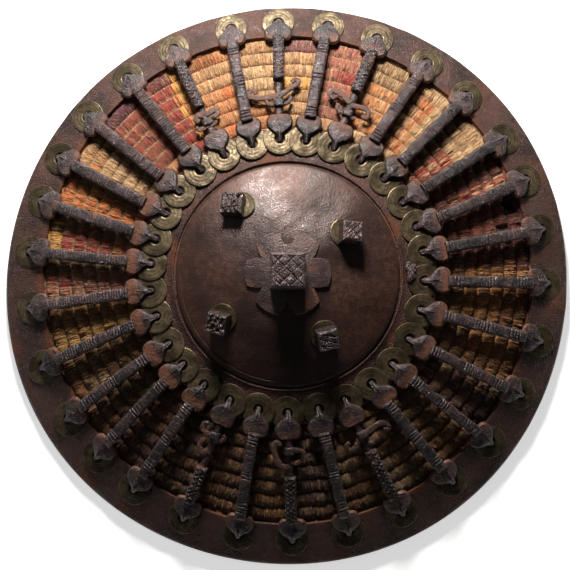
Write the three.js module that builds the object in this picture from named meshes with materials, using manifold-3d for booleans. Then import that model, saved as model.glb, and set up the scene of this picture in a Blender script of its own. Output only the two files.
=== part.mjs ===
// A round buckler: a bowl of coiled cane, held by an iron rim ring, an inner ring and a domed boss,
// and by thirty forged bars that cross the cane like spokes. It lies face up on its rim.
//
// Units are millimetres. +Z points out of the face, and +Y is the top when the buckler is held up.
// Clock angles run clockwise from +Y, seen from the face.
import * as THREE from 'three';
import { mergeVertices } from 'three/addons/utils/BufferGeometryUtils.js';
import Module from 'manifold-3d';

const wasm = await Module();
wasm.setup();

const GAP = 0.3; // air left between pieces that touch

// The bowl: every layer follows a sphere round one centre, at some height over the cane's back.
const BOWL_RADIUS = 440; // of the cane's back
const BOWL_CENTRE_Z = -390.5;
const BOWL_SHIFT_Y = 3; // the bowl sits this far above the middle of the hand-cut outline
const BOWL_BACK = 0; // heights over the cane's back, from here down
const CANE_FACE = 9.2;
const RING_BACK = CANE_FACE + GAP;
const RING_FACE = RING_BACK + 2;
const WASHER_BACK = RING_FACE + GAP;
const WASHER_FACE = WASHER_BACK + 1.3;
const HEAD_BACK = WASHER_FACE + GAP;
const HEAD_FACE = HEAD_BACK + 3;
const BAR_FACE = HEAD_BACK + 6.2;
const PLAN_HEIGHT = RING_FACE; // plan radii are true at this height

// Rim ring, with an outline that waves a little
const RIM_RADIUS = 210;
const RIM_INNER_RADIUS = 181.5;
const RIM_LIP = 2.6; // thickness of the edge that is turned down to the back
const RIM_WAVES = [
  { lobes: 2, rise: 1.5, clock: 56 },
  { lobes: 3, rise: 0.7, clock: 30 },
  { lobes: 4, rise: 0.8, clock: 54 },
];
const RING_STEPS = 48;

// Inner ring and cane
const INNER_RING_RADIUS = 109;
const INNER_RING_HOLE = 74;
const CANE_ROWS = 12;
const CANE_PITCH = 10; // from one row of cane to the next, in plan
const CANE_OUTER_RIDGE = 196;
const CANE_SEAM = 6.6; // height of the groove between two rows
const CANE_STEPS = 32;

// Boss and what stands on it
const BOSS_RADIUS = 82;
const BOSS_RISE = 22;
const BOSS_PLATE = 2;
const BOSS_EDGE = 1.3; // height of the upright cut edge
const BOSS_FOOT = 3; // width of the edge's underside
const BOSS_STEPS = 28;
const ROSETTE_PLATE = 2;
const ROSETTE_REACH = 31;
const ROSETTE_NOTCH = 21;
const PETAL_CORNERS = [ // of one petal, by the turn from its middle in degrees
  { turn: -30, radius: ROSETTE_NOTCH },
  { turn: -21, radius: ROSETTE_REACH - 2 },
  { turn: -9, radius: ROSETTE_REACH },
  { turn: 9, radius: ROSETTE_REACH },
  { turn: 21, radius: ROSETTE_REACH - 2 },
];
const BLOCK_SIDE = 25;
const BLOCK_HEIGHT = 24;
const BLOCK_BEVEL = 1.5;
const BLOCK_SHANK = 9;
const BLOCK_SHANK_LENGTH = 9;
const STUD_SHANK = 6;
const STUD_SHANK_LENGTH = 12;
const STUDS = [ // each stands at its own plan radius, turned anticlockwise from square with the top
  { name: 'boss_stud_1', circle: 61, clock: 321.5, side: 15.5, height: 10.5, turn: -5 },
  { name: 'boss_stud_2', circle: 51, clock: 57.5, side: 14.5, height: 14, turn: -3 },
  { name: 'boss_stud_3', circle: 52.5, clock: 149, side: 14.5, height: 12.5, turn: 13 },
  { name: 'boss_stud_4', circle: 58.5, clock: 234.5, side: 14.5, height: 13, turn: -14 },
];
const STUD_WASHER_RADIUS = 10;
const STUD_WASHER_PLATE = 1.2;
const STUD_WASHER_SIDES = 12;
const STRAP_WIDTH = 22;
const STRAP_THICKNESS = 3;
const STRAP_BOW = 32; // how far the hand loop stands off the boss
const STRAP_LOOP_HALF = 33;
const STRAP_TAB_END = 50;
const STRAP_CLEARANCE = 4 * GAP; // between the flat back of the strap and the hollow of the boss

// Bars. Each was set by eye: it drifts off its even place on the clock, and its inner end swings
// round a little from there, so that none is quite radial. All are in degrees.
const BAR_COUNT = 30;
const BAR_FIRST_CLOCK = -2;
const BAR_DRIFT = [
  0, -1, -1.5, -1, -1.5, -1, -2.5, -3, -3, -2, -1.5, -1, -1, 0, 0.5,
  1, 1, 1.5, 2, 1, -0.5, 0, 1.5, 2, 1.5, 0, -1, -0.5, -0.5, 1,
];
const BAR_SWING = [
  -1, -1, -0.5, -0.5, 0.5, 0.5, 1.5, 1, 1, 0.5, 1, 1, 1, 1, 0.5,
  0.5, 1, 1, 1, 2, 2, 2, 0, -1, -1.5, -1, -1, -0.5, -1, -1.5,
];
const DRIFT_CIRCLE = 190; // plan radius at which the drift holds
const SWING_CIRCLE = 118; // and at which the full swing is reached
const BAR_HALF_WIDTH = 4;
const BAR_INNER_END = 117;
const BAR_OUTER_END = 177.5;
const BAR_LAP = 1; // each part of a bar runs this far into the next
const BAR_SET_IN = 0.4; // the shaft's back lies this far over the back of the heads
const ARM_SET_IN = 0.3;
const HEAD_LOBE = { reach: 0.5, halfWidth: 6.6 }; // each reach is measured from the shaft's end
const HEAD_WIDEST = { reach: 7, halfWidth: 9.5 };
const HEAD_NECK = { reach: 15, halfWidth: 2.8 };
const NIB_ROOT = { reach: 14, halfWidth: 2.6 };
const NIB_TIP = { reach: 20, halfWidth: 1.6 };
const OUTER_HEAD_STRETCH = 0.87; // the outer heads are a little shorter than the inner ones
const NIB_SET_IN = 0.2;
const NIB_DROP = 1.6; // the nib bends down into the hole of its washer
const INNER_WASHER = { circle: 100, radius: 12.2, sides: 10, hole: 7, holeSides: 4, lift: 0.12 };

// The six ornamental bars are raised only over their outer part, and carry curled arms below it.
const SHORT_BARS = new Map([
  [0, { raisedFrom: 144.5, leftCurl: 1, rightCurl: 0.75 }],
  [2, { raisedFrom: 144, leftCurl: 0.77, rightCurl: 0.7 }],
  [28, { raisedFrom: 139, leftCurl: 0.5, rightCurl: 0.5 }],
  [13, { raisedFrom: 139.5, leftCurl: 1, rightCurl: 0.65 }],
  [15, { raisedFrom: 145, leftCurl: 0.5, rightCurl: 0.6 }],
  [17, { raisedFrom: 151, leftCurl: 0.4, rightCurl: 0.5 }],
]);
const STEM_HALF_WIDTH = 3;
const CURL = { at: 134, reach: 20, rise: 5, halfWidth: 1.9 };
const BARB = { at: 126, reach: 9, rise: 3, halfWidth: 1.7 };

const iron = (colour) => new THREE.MeshStandardMaterial({ color: colour, roughness: 0.6, metalness: 0.8 });
const brass = () => new THREE.MeshStandardMaterial({ color: 0x8f8158, roughness: 0.5, metalness: 0.9 });
const IRON_PLATE = 0x5a4a46;
const IRON_BAR = 0x4c3f40;

const radians = THREE.MathUtils.degToRad;

/** The point at a plan radius and clock angle. */
function atClock(radius, clock) {
  return new THREE.Vector2(radius * Math.sin(radians(clock)), radius * Math.cos(radians(clock)));
}

/** Height of a bowl layer at a plan radius from the bowl's axis. */
function bowlZ(radius, height) {
  return BOWL_CENTRE_Z + Math.sqrt((BOWL_RADIUS + height) ** 2 - radius ** 2);
}

/** Puts a point of the flat plan, and its height over the cane's back, on the bowl. */
function onBowl(x, y, height) {
  const planSphere = BOWL_RADIUS + PLAN_HEIGHT;
  const normal = new THREE.Vector3(x, y, Math.sqrt(planSphere ** 2 - x ** 2 - y ** 2)).normalize();
  const point = normal.multiplyScalar(BOWL_RADIUS + height);
  return point.add(new THREE.Vector3(0, BOWL_SHIFT_Y, BOWL_CENTRE_Z));
}

/** A closed geometry as a solid that can be joined and cut. */
function solidOf(geometry) {
  const bare = geometry.clone();
  bare.deleteAttribute('normal');
  bare.deleteAttribute('uv');
  const merged = mergeVertices(bare, 1e-3);
  return new wasm.Manifold(new wasm.Mesh({
    numProp: 3,
    vertProperties: merged.attributes.position.array,
    triVerts: new Uint32Array(merged.index.array),
  }));
}

/** A solid as a geometry again. */
function geometryOf(solid) {
  const mesh = solid.getMesh();
  const geometry = new THREE.BufferGeometry();
  geometry.setAttribute('position', new THREE.BufferAttribute(mesh.vertProperties, 3));
  geometry.setIndex(new THREE.BufferAttribute(mesh.triVerts, 1));
  geometry.computeVertexNormals();
  return geometry;
}

/** Moves every vertex of a geometry by a rule that takes and returns a point. */
function moved(geometry, rule) {
  const position = geometry.attributes.position;
  for (let i = 0; i < position.count; i += 1) {
    const point = rule(new THREE.Vector3().fromBufferAttribute(position, i));
    position.setXYZ(i, point.x, point.y, point.z);
  }
  return geometry;
}

/** A ring or dome turned about Z from a closed profile of [radius, z] points, listed clockwise. */
function turned(profile, steps) {
  const points = profile.map(([radius, z]) => new THREE.Vector2(radius, z));
  if (points[0].x > 0) points.push(points[0].clone());
  return new THREE.LatheGeometry(points, steps).rotateX(Math.PI / 2);
}

/** A flat outline of [x, y] points, raised from one height to another. */
function slab(outline, low, high) {
  const shape = new THREE.Shape(outline.map(([x, y]) => new THREE.Vector2(x, y)));
  return new THREE.ExtrudeGeometry(shape, { depth: high - low, bevelEnabled: false }).translate(0, 0, low);
}

/** A regular polygon's outline round the origin, with its first corner at a turn from +X. */
function polygon(radius, sides, firstTurn = 0) {
  return Array.from({ length: sides }, (_, i) => {
    const turn = firstTurn + (2 * Math.PI * i) / sides;
    return [radius * Math.cos(turn), radius * Math.sin(turn)];
  });
}

/** An upright square pin about the Z axis. */
function squarePin(side, low, high) {
  return new THREE.BoxGeometry(side, side, high - low).translate(0, 0, (low + high) / 2);
}

/** A named piece of the buckler. */
function named(name, geometry, material) {
  const mesh = new THREE.Mesh(geometry, material);
  mesh.name = name;
  return mesh;
}

/** Radius of the hand-cut outline at a clock angle, from the middle of the buckler. */
function outlineRadius(clock) {
  return RIM_WAVES.reduce(
    (radius, wave) => radius + wave.rise * Math.cos(wave.lobes * radians(clock - wave.clock)),
    RIM_RADIUS,
  );
}

/** The rim ring: a plate on the cane whose outer edge is turned down to the ground. */
function rimRing() {
  const toGround = -BOWL_RADIUS / 4;
  const profile = [
    [RIM_INNER_RADIUS, RING_BACK],
    [RIM_INNER_RADIUS, RING_FACE],
    [RIM_RADIUS - 1.5, RING_FACE],
    [RIM_RADIUS, RING_FACE - 1.5],
    [RIM_RADIUS, toGround],
    [RIM_RADIUS - RIM_LIP, toGround],
    [RIM_RADIUS - RIM_LIP, RING_BACK],
    [(RIM_INNER_RADIUS + RIM_RADIUS) / 2, RING_BACK],
  ];
  return moved(turned(profile.reverse(), RING_STEPS), ({ x, y, z }) => {
    const radius = Math.hypot(x, y);
    const clock = THREE.MathUtils.radToDeg(Math.atan2(x, y));
    const outward = (radius - RIM_INNER_RADIUS) / (RIM_RADIUS - RIM_INNER_RADIUS);
    const inner = atClock(RIM_INNER_RADIUS, clock).add(new THREE.Vector2(0, BOWL_SHIFT_Y));
    const outer = atClock(outlineRadius(clock), clock);
    const plan = inner.lerp(outer, outward);
    const height = bowlZ(Math.hypot(plan.x, plan.y - BOWL_SHIFT_Y), z);
    return new THREE.Vector3(plan.x, plan.y, Math.max(height, 0));
  });
}

/** The inner ring: a flat band that follows the bowl, and carries the boss and the inner heads. */
function innerRing() {
  const steps = 2;
  const radii = Array.from({ length: steps + 1 }, (_, i) => {
    return THREE.MathUtils.lerp(INNER_RING_HOLE, INNER_RING_RADIUS, i / steps);
  });
  const back = radii.map((radius) => [radius, bowlZ(radius, RING_BACK)]);
  const face = radii.map((radius) => [radius, bowlZ(radius, RING_FACE)]);
  return turned(back.concat(face.reverse()), RING_STEPS).translate(0, BOWL_SHIFT_Y, 0);
}

/** The coil of cane: a ridge for each row on the face, and a smoother back. */
function caneBody() {
  const halfRow = CANE_PITCH / 2;
  const inner = CANE_OUTER_RIDGE - (CANE_ROWS - 1) * CANE_PITCH - halfRow;
  const outer = CANE_OUTER_RIDGE + halfRow;
  const middle = (CANE_FACE + BOWL_BACK) / 2;
  const profile = [];
  for (let row = 0; row < CANE_ROWS; row += 3) {
    const radius = inner + row * CANE_PITCH + halfRow;
    profile.push([radius, bowlZ(radius, BOWL_BACK)]);
  }
  profile.push([outer - halfRow, bowlZ(outer - halfRow, BOWL_BACK)]);
  profile.push([outer, bowlZ(outer, middle)]);
  for (let row = CANE_ROWS - 1; row >= 0; row -= 1) {
    const ridge = inner + row * CANE_PITCH + halfRow;
    profile.push([ridge, bowlZ(ridge, CANE_FACE)]);
    const seam = ridge - halfRow;
    profile.push([seam, bowlZ(seam, row > 0 ? CANE_SEAM : middle)]);
  }
  return turned(profile, CANE_STEPS).translate(0, BOWL_SHIFT_Y, 0);
}

/** A square hole for a stud's shank, on the plane z = 0 with the stud's own turn. */
function studHole(stud, low, high) {
  return squarePin(STUD_SHANK + 2 * GAP, low, high).rotateZ(radians(stud.turn + stud.clock));
}

const BOSS_SPHERE = (BOSS_RADIUS ** 2 + BOSS_RISE ** 2) / (2 * BOSS_RISE);
const BOSS_EDGE_Z = bowlZ(BOSS_RADIUS, RING_FACE) + GAP;
const BOSS_CROWN_Z = BOSS_EDGE_Z + BOSS_RISE + BOSS_EDGE;
const BOSS_CENTRE_Z = BOSS_CROWN_Z - BOSS_SPHERE;

/** Stands a geometry that is built on the plane z = 0 upright on the dome of the boss. */
function onBoss(geometry, planRadius, clock) {
  const lean = Math.asin(planRadius / BOSS_SPHERE);
  geometry.translate(0, 0, BOSS_SPHERE);
  geometry.rotateX(-lean);
  geometry.rotateZ(-radians(clock));
  return geometry.translate(0, BOWL_SHIFT_Y, BOSS_CENTRE_Z);
}

/** The boss: a thin dome whose edge rests on the inner ring, with square holes for its shanks. */
function boss() {
  const outerArc = 7;
  const innerArc = 4;
  const edgeAngle = Math.asin(BOSS_RADIUS / BOSS_SPHERE);
  const arc = (radius, angle) => [radius * Math.sin(angle), BOSS_CENTRE_Z + radius * Math.cos(angle)];
  const inside = BOSS_SPHERE - BOSS_PLATE;
  const insideEdge = Math.asin((BOSS_RADIUS - BOSS_FOOT) / inside);
  const profile = [];
  for (let i = 0; i <= innerArc; i += 1) {
    profile.push(arc(inside, (insideEdge * i) / innerArc));
  }
  profile.push([BOSS_RADIUS, BOSS_EDGE_Z]);
  for (let i = outerArc; i >= 0; i -= 1) {
    profile.push(arc(BOSS_SPHERE, (edgeAngle * i) / outerArc));
  }
  profile[0][0] = 0;
  profile[profile.length - 1][0] = 0;
  const dome = turned(profile, BOSS_STEPS).translate(0, BOWL_SHIFT_Y, 0);
  const holes = STUDS.map((stud) => {
    return onBoss(studHole(stud, -3 * BOSS_PLATE, BOSS_PLATE), stud.circle, stud.clock);
  });
  holes.push(onBoss(squarePin(BLOCK_SHANK + 2 * GAP, -3 * BOSS_PLATE, BOSS_PLATE), 0, 0));
  return geometryOf(holes.reduce((solid, hole) => solid.subtract(solidOf(hole)), solidOf(dome)));
}

/** The rosette: six square-ended petals, bent to the dome, with a hole for the block's shank. */
function rosette() {
  const petals = 6;
  const outline = [];
  for (let i = 0; i < petals; i += 1) {
    const middle = -30 - (360 / petals) * i;
    PETAL_CORNERS.forEach(({ turn, radius }) => {
      const point = atClock(radius, middle - turn);
      outline.push([point.x, point.y]);
    });
  }
  const arcSteps = 3;
  const arcEnd = Math.asin((ROSETTE_REACH + 2) / BOSS_SPHERE);
  const arc = (radius) => Array.from({ length: arcSteps + 1 }, (_, i) => {
    const angle = (arcEnd * i) / arcSteps;
    return [radius * Math.sin(angle), radius * Math.cos(angle)];
  });
  const back = BOSS_SPHERE + GAP;
  const face = back + ROSETTE_PLATE;
  const plate = solidOf(turned([...arc(back), ...arc(face).reverse()], 2 * petals));
  const prism = solidOf(slab(outline, BOSS_SPHERE / 2, 2 * BOSS_SPHERE));
  const hole = solidOf(squarePin(BLOCK_SHANK + 2 * GAP, back - 2, face + 2));
  const cut = geometryOf(plate.intersect(prism).subtract(hole));
  return cut.translate(0, BOWL_SHIFT_Y, BOSS_CENTRE_Z);
}

/** A square head with a bevelled top, and the shank below it that goes through the boss. */
function squareRivet({ side, height, base, shank, shankLength }) {
  const corners = polygon((side / 2 - BLOCK_BEVEL) * Math.SQRT2, 4, Math.PI / 4);
  const head = new THREE.ExtrudeGeometry(new THREE.Shape(corners.map(([x, y]) => new THREE.Vector2(x, y))), {
    depth: height - 2 * BLOCK_BEVEL,
    bevelEnabled: true,
    bevelThickness: BLOCK_BEVEL,
    bevelSize: BLOCK_BEVEL,
    bevelSegments: 1,
  }).translate(0, 0, base + BLOCK_BEVEL);
  const pin = squarePin(shank, base - shankLength, base + 1);
  return geometryOf(solidOf(head).add(solidOf(pin)));
}

/** The outline of a flat ribbon along a line of points, whose half width may change on the way. */
function ribbon(centre, halfWidthAt) {
  const last = centre.length - 1;
  const offset = (side) => centre.map((point, i) => {
    const before = centre[Math.max(i - 1, 0)];
    const after = centre[Math.min(i + 1, last)];
    const along = after.clone().sub(before).normalize();
    const half = side * halfWidthAt(i / last);
    return [point.x - half * along.y, point.y + half * along.x];
  });
  return offset(1).concat(offset(-1).reverse());
}

/** The side view of a strap, from one tab over the hand loop to the other tab. */
function strapSide(innerSphere) {
  const steps = 14;
  const centre = [];
  for (let i = 0; i <= steps; i += 1) {
    const along = -STRAP_TAB_END + (2 * STRAP_TAB_END * i) / steps;
    const dome = Math.sqrt(innerSphere ** 2 - along ** 2);
    const inLoop = Math.min(Math.abs(along) / STRAP_LOOP_HALF, 1);
    const bow = (STRAP_BOW * (1 + Math.cos(Math.PI * inLoop))) / 2;
    centre.push(new THREE.Vector2(along, dome - bow));
  }
  return ribbon(centre, () => STRAP_THICKNESS / 2);
}

/** A hand strap behind the boss, held by the shanks of two studs. */
function strap(studA, studB) {
  const a = atClock(studA.circle, studA.clock);
  const b = atClock(studB.circle, studB.clock);
  const boss3 = (plan) => new THREE.Vector3(plan.x, plan.y, Math.sqrt(BOSS_SPHERE ** 2 - plan.lengthSq()));
  const along = boss3(b).sub(boss3(a)).normalize();
  const up = boss3(a).add(boss3(b)).normalize();
  const across = new THREE.Vector3().crossVectors(along, up);
  const innerSphere = BOSS_SPHERE - BOSS_PLATE - STRAP_CLEARANCE - STRAP_THICKNESS / 2;
  const band = slab(strapSide(innerSphere), -STRAP_WIDTH / 2, STRAP_WIDTH / 2);
  band.applyMatrix4(new THREE.Matrix4().makeBasis(along, up, across));
  band.translate(0, BOWL_SHIFT_Y, BOSS_CENTRE_Z);
  const holes = [studA, studB].map((stud) => {
    return onBoss(studHole(stud, -STUD_SHANK_LENGTH, 0), stud.circle, stud.clock);
  });
  return geometryOf(holes.reduce((solid, hole) => solid.subtract(solidOf(hole)), solidOf(band)));
}

/** A bar's outer clock angle. */
function barClock(index) {
  return BAR_FIRST_CLOCK + (360 / BAR_COUNT) * index + BAR_DRIFT[index];
}

/** The plan point that lies along a bar at a plan radius, and across it by some millimetres. */
function alongBar(index, radius, across) {
  const inward = (DRIFT_CIRCLE - radius) / (DRIFT_CIRCLE - SWING_CIRCLE);
  const clock = barClock(index) + BAR_SWING[index] * inward;
  const axis = atClock(radius, clock);
  const right = atClock(across, clock + 90);
  return axis.add(right);
}

/** A mirrored part of the head at one end of a bar (-1 inner, 1 outer), flat along X. */
function headPart(end, corners, low, high) {
  const root = end > 0 ? BAR_OUTER_END : BAR_INNER_END;
  const stretch = end > 0 ? OUTER_HEAD_STRETCH : -1;
  const side = corners.map((corner) => [root + stretch * corner.reach, end * corner.halfWidth]);
  const otherSide = side.map(([x, y]) => [x, -y]).reverse();
  return slab(otherSide.concat(side), low, high);
}

/** A spade head with round lobes, and the nib that runs on from it. */
function spadeHead(end) {
  return [
    headPart(end, [HEAD_LOBE, HEAD_WIDEST, HEAD_NECK], HEAD_BACK, HEAD_FACE),
    headPart(end, [NIB_ROOT, NIB_TIP], HEAD_BACK + NIB_SET_IN, HEAD_FACE - NIB_SET_IN),
  ];
}

/** A straight length of a bar between two plan radii, flat along X. */
function shaft(from, to, halfWidth, face) {
  const back = HEAD_BACK + BAR_SET_IN;
  return new THREE.BoxGeometry(to - from, 2 * halfWidth, face - back)
    .translate((from + to) / 2, 0, (face + back) / 2);
}

/** A curled arm: straight out sideways from the stem, then round in a hook that tapers. */
function armOutline({ at, reach, rise, halfWidth }, size, side) {
  const hook = rise * size;
  const shoulder = reach * size - hook;
  const steps = 3;
  const centre = [new THREE.Vector2(at, 0)];
  for (let i = 0; i <= steps; i += 1) {
    const turn = (1.2 * Math.PI * i) / steps;
    const out = shoulder + hook * Math.sin(turn);
    centre.push(new THREE.Vector2(at - hook + hook * Math.cos(turn), side * out));
  }
  const outline = ribbon(centre, (part) => halfWidth * (1 - 0.5 * part));
  const area = THREE.ShapeUtils.area(outline.map(([x, y]) => new THREE.Vector2(x, y)));
  return area > 0 ? outline : outline.reverse();
}

/** The shaft of an ornamental bar: raised outside, then a low stem with two pairs of curled arms. */
function ornamentalShaft({ raisedFrom, leftCurl, rightCurl }) {
  const arms = [
    armOutline(CURL, leftCurl, 1),
    armOutline(CURL, rightCurl, -1),
    armOutline(BARB, 1, 1),
    armOutline(BARB, 1, -1),
  ];
  return [
    shaft(raisedFrom, BAR_OUTER_END + BAR_LAP, BAR_HALF_WIDTH, BAR_FACE),
    shaft(BAR_INNER_END - BAR_LAP, raisedFrom + BAR_LAP, STEM_HALF_WIDTH, HEAD_FACE - ARM_SET_IN),
    ...arms.map((outline) => slab(outline, HEAD_BACK + 2 * BAR_SET_IN, HEAD_FACE - 2 * ARM_SET_IN)),
  ];
}

/** One forged bar, built flat along X and then laid on the bowl with its nibs bent down. */
function bar(index) {
  const ornament = SHORT_BARS.get(index);
  const plain = shaft(BAR_INNER_END - BAR_LAP, BAR_OUTER_END + BAR_LAP, BAR_HALF_WIDTH, BAR_FACE);
  const parts = [...spadeHead(-1), ...spadeHead(1), ...(ornament ? ornamentalShaft(ornament) : [plain])];
  const solid = parts.map(solidOf).reduce((joined, part) => joined.add(part));
  return moved(geometryOf(solid), ({ x, y, z }) => {
    const reach = Math.max(BAR_INNER_END - x, (x - BAR_OUTER_END) / OUTER_HEAD_STRETCH);
    const atTip = reach > HEAD_NECK.reach + 1;
    const plan = alongBar(index, x, -y);
    return onBowl(plan.x, plan.y, atTip ? z - NIB_DROP : z);
  });
}

/** The brass washers under the inner heads, joined because every second one lies on its neighbours. */
function innerWashers() {
  const { circle, radius, sides, hole, holeSides, lift } = INNER_WASHER;
  const indices = Array.from({ length: BAR_COUNT }, (_, i) => i);
  const prism = (index, size, corners, low, high) => {
    const centre = alongBar(index, circle, 0);
    const outline = polygon(size, corners, radians(90 - barClock(index)));
    return solidOf(slab(outline.map(([x, y]) => [x + centre.x, y + centre.y]), low, high));
  };
  const discs = indices.map((i) => {
    const raise = (i % 2) * lift;
    return prism(i, radius, sides, WASHER_BACK + raise, WASHER_FACE - lift + raise);
  });
  const holes = indices.map((i) => prism(i, hole, holeSides, WASHER_BACK - 1, WASHER_FACE + 1));
  const joined = discs.reduce((solid, disc) => solid.add(disc));
  const pierced = holes.reduce((solid, cut) => solid.subtract(cut), joined);
  return moved(geometryOf(pierced), ({ x, y, z }) => onBowl(x, y, z));
}

const buckler = new THREE.Group();
buckler.add(named('rim_ring', rimRing(), iron(IRON_PLATE)));
buckler.add(named('inner_ring', innerRing(), iron(IRON_PLATE)));
buckler.add(named('boss', boss(), iron(IRON_PLATE)));
buckler.add(named('rosette', rosette(), iron(IRON_PLATE)));
buckler.add(named('cane_body', caneBody(), new THREE.MeshStandardMaterial({
  color: 0xa8774a,
  roughness: 0.9,
  metalness: 0,
})));
buckler.add(named('inner_washers', innerWashers(), brass()));

buckler.add(named('centre_block', onBoss(squareRivet({
  side: BLOCK_SIDE,
  height: BLOCK_HEIGHT,
  base: ROSETTE_PLATE + 2 * GAP,
  shank: BLOCK_SHANK,
  shankLength: BLOCK_SHANK_LENGTH,
}), 0, 0), iron(IRON_BAR)));

for (const stud of STUDS) {
  const number = stud.name.slice(-1);
  const rivet = squareRivet({
    side: stud.side,
    height: stud.height,
    base: STUD_WASHER_PLATE + 2 * GAP,
    shank: STUD_SHANK,
    shankLength: STUD_SHANK_LENGTH,
  }).rotateZ(radians(stud.turn + stud.clock));
  buckler.add(named(stud.name, onBoss(rivet, stud.circle, stud.clock), iron(IRON_BAR)));
  const outline = polygon(STUD_WASHER_RADIUS, STUD_WASHER_SIDES);
  const disc = solidOf(slab(outline, GAP, GAP + STUD_WASHER_PLATE));
  const hole = solidOf(studHole(stud, 0, 2 * STUD_WASHER_PLATE));
  const washer = onBoss(geometryOf(disc.subtract(hole)), stud.circle, stud.clock);
  buckler.add(named(`stud_washer_${number}`, washer, brass()));
}

const leather = new THREE.MeshStandardMaterial({ color: 0x3c2519, roughness: 0.8, metalness: 0 });
buckler.add(named('hand_strap_1', strap(STUDS[0], STUDS[3]), leather));
buckler.add(named('hand_strap_2', strap(STUDS[1], STUDS[2]), leather));

for (let i = 0; i < BAR_COUNT; i += 1) {
  const name = `bar_${String(i + 1).padStart(2, '0')}`;
  buckler.add(named(name, bar(i), iron(IRON_BAR)));
}

// The origin is at the middle of the buckler's underside.
const extent = new THREE.Box3().setFromObject(buckler, true);
const middle = extent.getCenter(new THREE.Vector3());
buckler.position.set(-middle.x, -middle.y, -extent.min.z);

export default buckler;
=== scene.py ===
"""Finishes and detailed meshes of a round buckler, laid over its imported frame.

Sizes of the pieces are millimetres; those of the finishes and the studio are metres. Clock angles
run clockwise from +Y, seen from the face. A height is measured from the back of the cane, square
to the bowl.
"""

import logging
import math
from dataclasses import dataclass, field
from enum import Enum
from typing import ClassVar, Sequence

import bpy
import numpy as np
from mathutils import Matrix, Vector


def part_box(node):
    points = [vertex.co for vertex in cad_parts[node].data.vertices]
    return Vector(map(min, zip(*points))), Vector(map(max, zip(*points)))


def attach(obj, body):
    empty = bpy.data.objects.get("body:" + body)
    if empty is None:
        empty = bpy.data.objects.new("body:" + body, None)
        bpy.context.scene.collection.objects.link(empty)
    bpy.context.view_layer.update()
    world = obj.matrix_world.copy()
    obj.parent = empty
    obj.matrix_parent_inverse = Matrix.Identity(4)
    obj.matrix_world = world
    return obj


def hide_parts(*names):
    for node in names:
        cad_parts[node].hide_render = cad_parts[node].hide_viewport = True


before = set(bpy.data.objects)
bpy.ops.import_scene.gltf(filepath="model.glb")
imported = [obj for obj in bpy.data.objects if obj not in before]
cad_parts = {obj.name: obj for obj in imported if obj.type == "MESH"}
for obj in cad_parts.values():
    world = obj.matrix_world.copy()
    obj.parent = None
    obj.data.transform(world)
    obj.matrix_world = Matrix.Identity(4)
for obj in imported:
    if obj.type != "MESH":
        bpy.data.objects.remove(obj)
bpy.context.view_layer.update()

MM = 0.001
LOG = logging.getLogger("buckler")
BODY = "root"
RIM_SLIP = 3.0
Socket = bpy.types.NodeSocket
Number = np.ndarray | float


def polar(radius: Number, clock: Number, across: Number = 0.0) -> np.ndarray:
    """Plan points from a radius and a clock angle.

    Args:
        radius: Distance from the axis.
        clock: Clock angle in degrees.
        across: Distance to the clockwise side of that radius.

    Returns:
        An array of x and y along its last axis.
    """
    turn = np.radians(clock)
    x = radius * np.sin(turn) + across * np.cos(turn)
    y = radius * np.cos(turn) - across * np.sin(turn)
    return np.stack(np.broadcast_arrays(x, y), -1)


def ease(value: np.ndarray) -> np.ndarray:
    """A smooth step from 0 to 1 as the value goes from 0 to 1."""
    part = np.clip(value, 0.0, 1.0)
    return part * part * (3 - 2 * part)


def spline(points: Sequence[Sequence[float]], steps: int) -> np.ndarray:
    """A smooth line through points.

    Args:
        points: The points it passes, in any number of dimensions.
        steps: Points made for each stretch between two of them.

    Returns:
        The points of the line, from the first given point to the last.
    """
    given = np.asarray(points, float)
    ends = np.vstack([2 * given[0] - given[1], given, 2 * given[-1] - given[-2]])
    line = []
    for a, b, c, d in zip(ends, ends[1:], ends[2:], ends[3:]):
        t = np.linspace(0, 1, steps, endpoint=False)[:, None]
        line.append(
            0.5
            * (2 * b + (c - a) * t + (2 * a - 5 * b + 4 * c - d) * t**2 + (3 * b - a - 3 * c + d) * t**3)
        )
    return np.vstack([*line, given[-1:]])


class Wander:
    """A smooth, repeatable unevenness in space, of about unit size."""

    def __init__(self, seed: int, size: float, waves: int = 20) -> None:
        """Draws the waves that the unevenness is made of.

        Args:
            seed: Start of the random draw.
            size: Rough distance between two bumps.
            waves: Number of waves.
        """
        draw = np.random.default_rng(seed)
        heading = draw.normal(size=(waves, 3))
        heading /= np.linalg.norm(heading, axis=1)[:, None]
        self.waves = heading * (2 * np.pi / size * draw.uniform(0.55, 1.6, waves))[:, None]
        self.phases = draw.uniform(0, 2 * np.pi, waves)

    def __call__(self, points: np.ndarray) -> np.ndarray:
        """The unevenness at an array of points."""
        return np.sin(points @ self.waves.T + self.phases).sum(-1) / math.sqrt(len(self.phases) / 2)


@dataclass(frozen=True)
class Bowl:
    """The sphere that the cane, the rings and the bars follow."""

    axis_x: float
    axis_y: float
    centre_z: float = -390.5
    back_radius: float = 440.0
    plan_height: float = 11.5

    def lay(self, plan: np.ndarray, height: np.ndarray) -> np.ndarray:
        """Puts plan points on the bowl.

        Args:
            plan: x and y from the bowl's axis, along the last axis.
            height: Height over the cane's back.

        Returns:
            The points in the frame, in millimetres.
        """
        sphere = self.back_radius + self.plan_height
        up = np.sqrt(sphere**2 - (plan**2).sum(-1))
        normal = np.concatenate([plan, up[..., None]], -1) / sphere
        reach = np.broadcast_to(self.back_radius + np.asarray(height, float), up.shape)
        return normal * reach[..., None] + np.array([self.axis_x, self.axis_y, self.centre_z])


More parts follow.
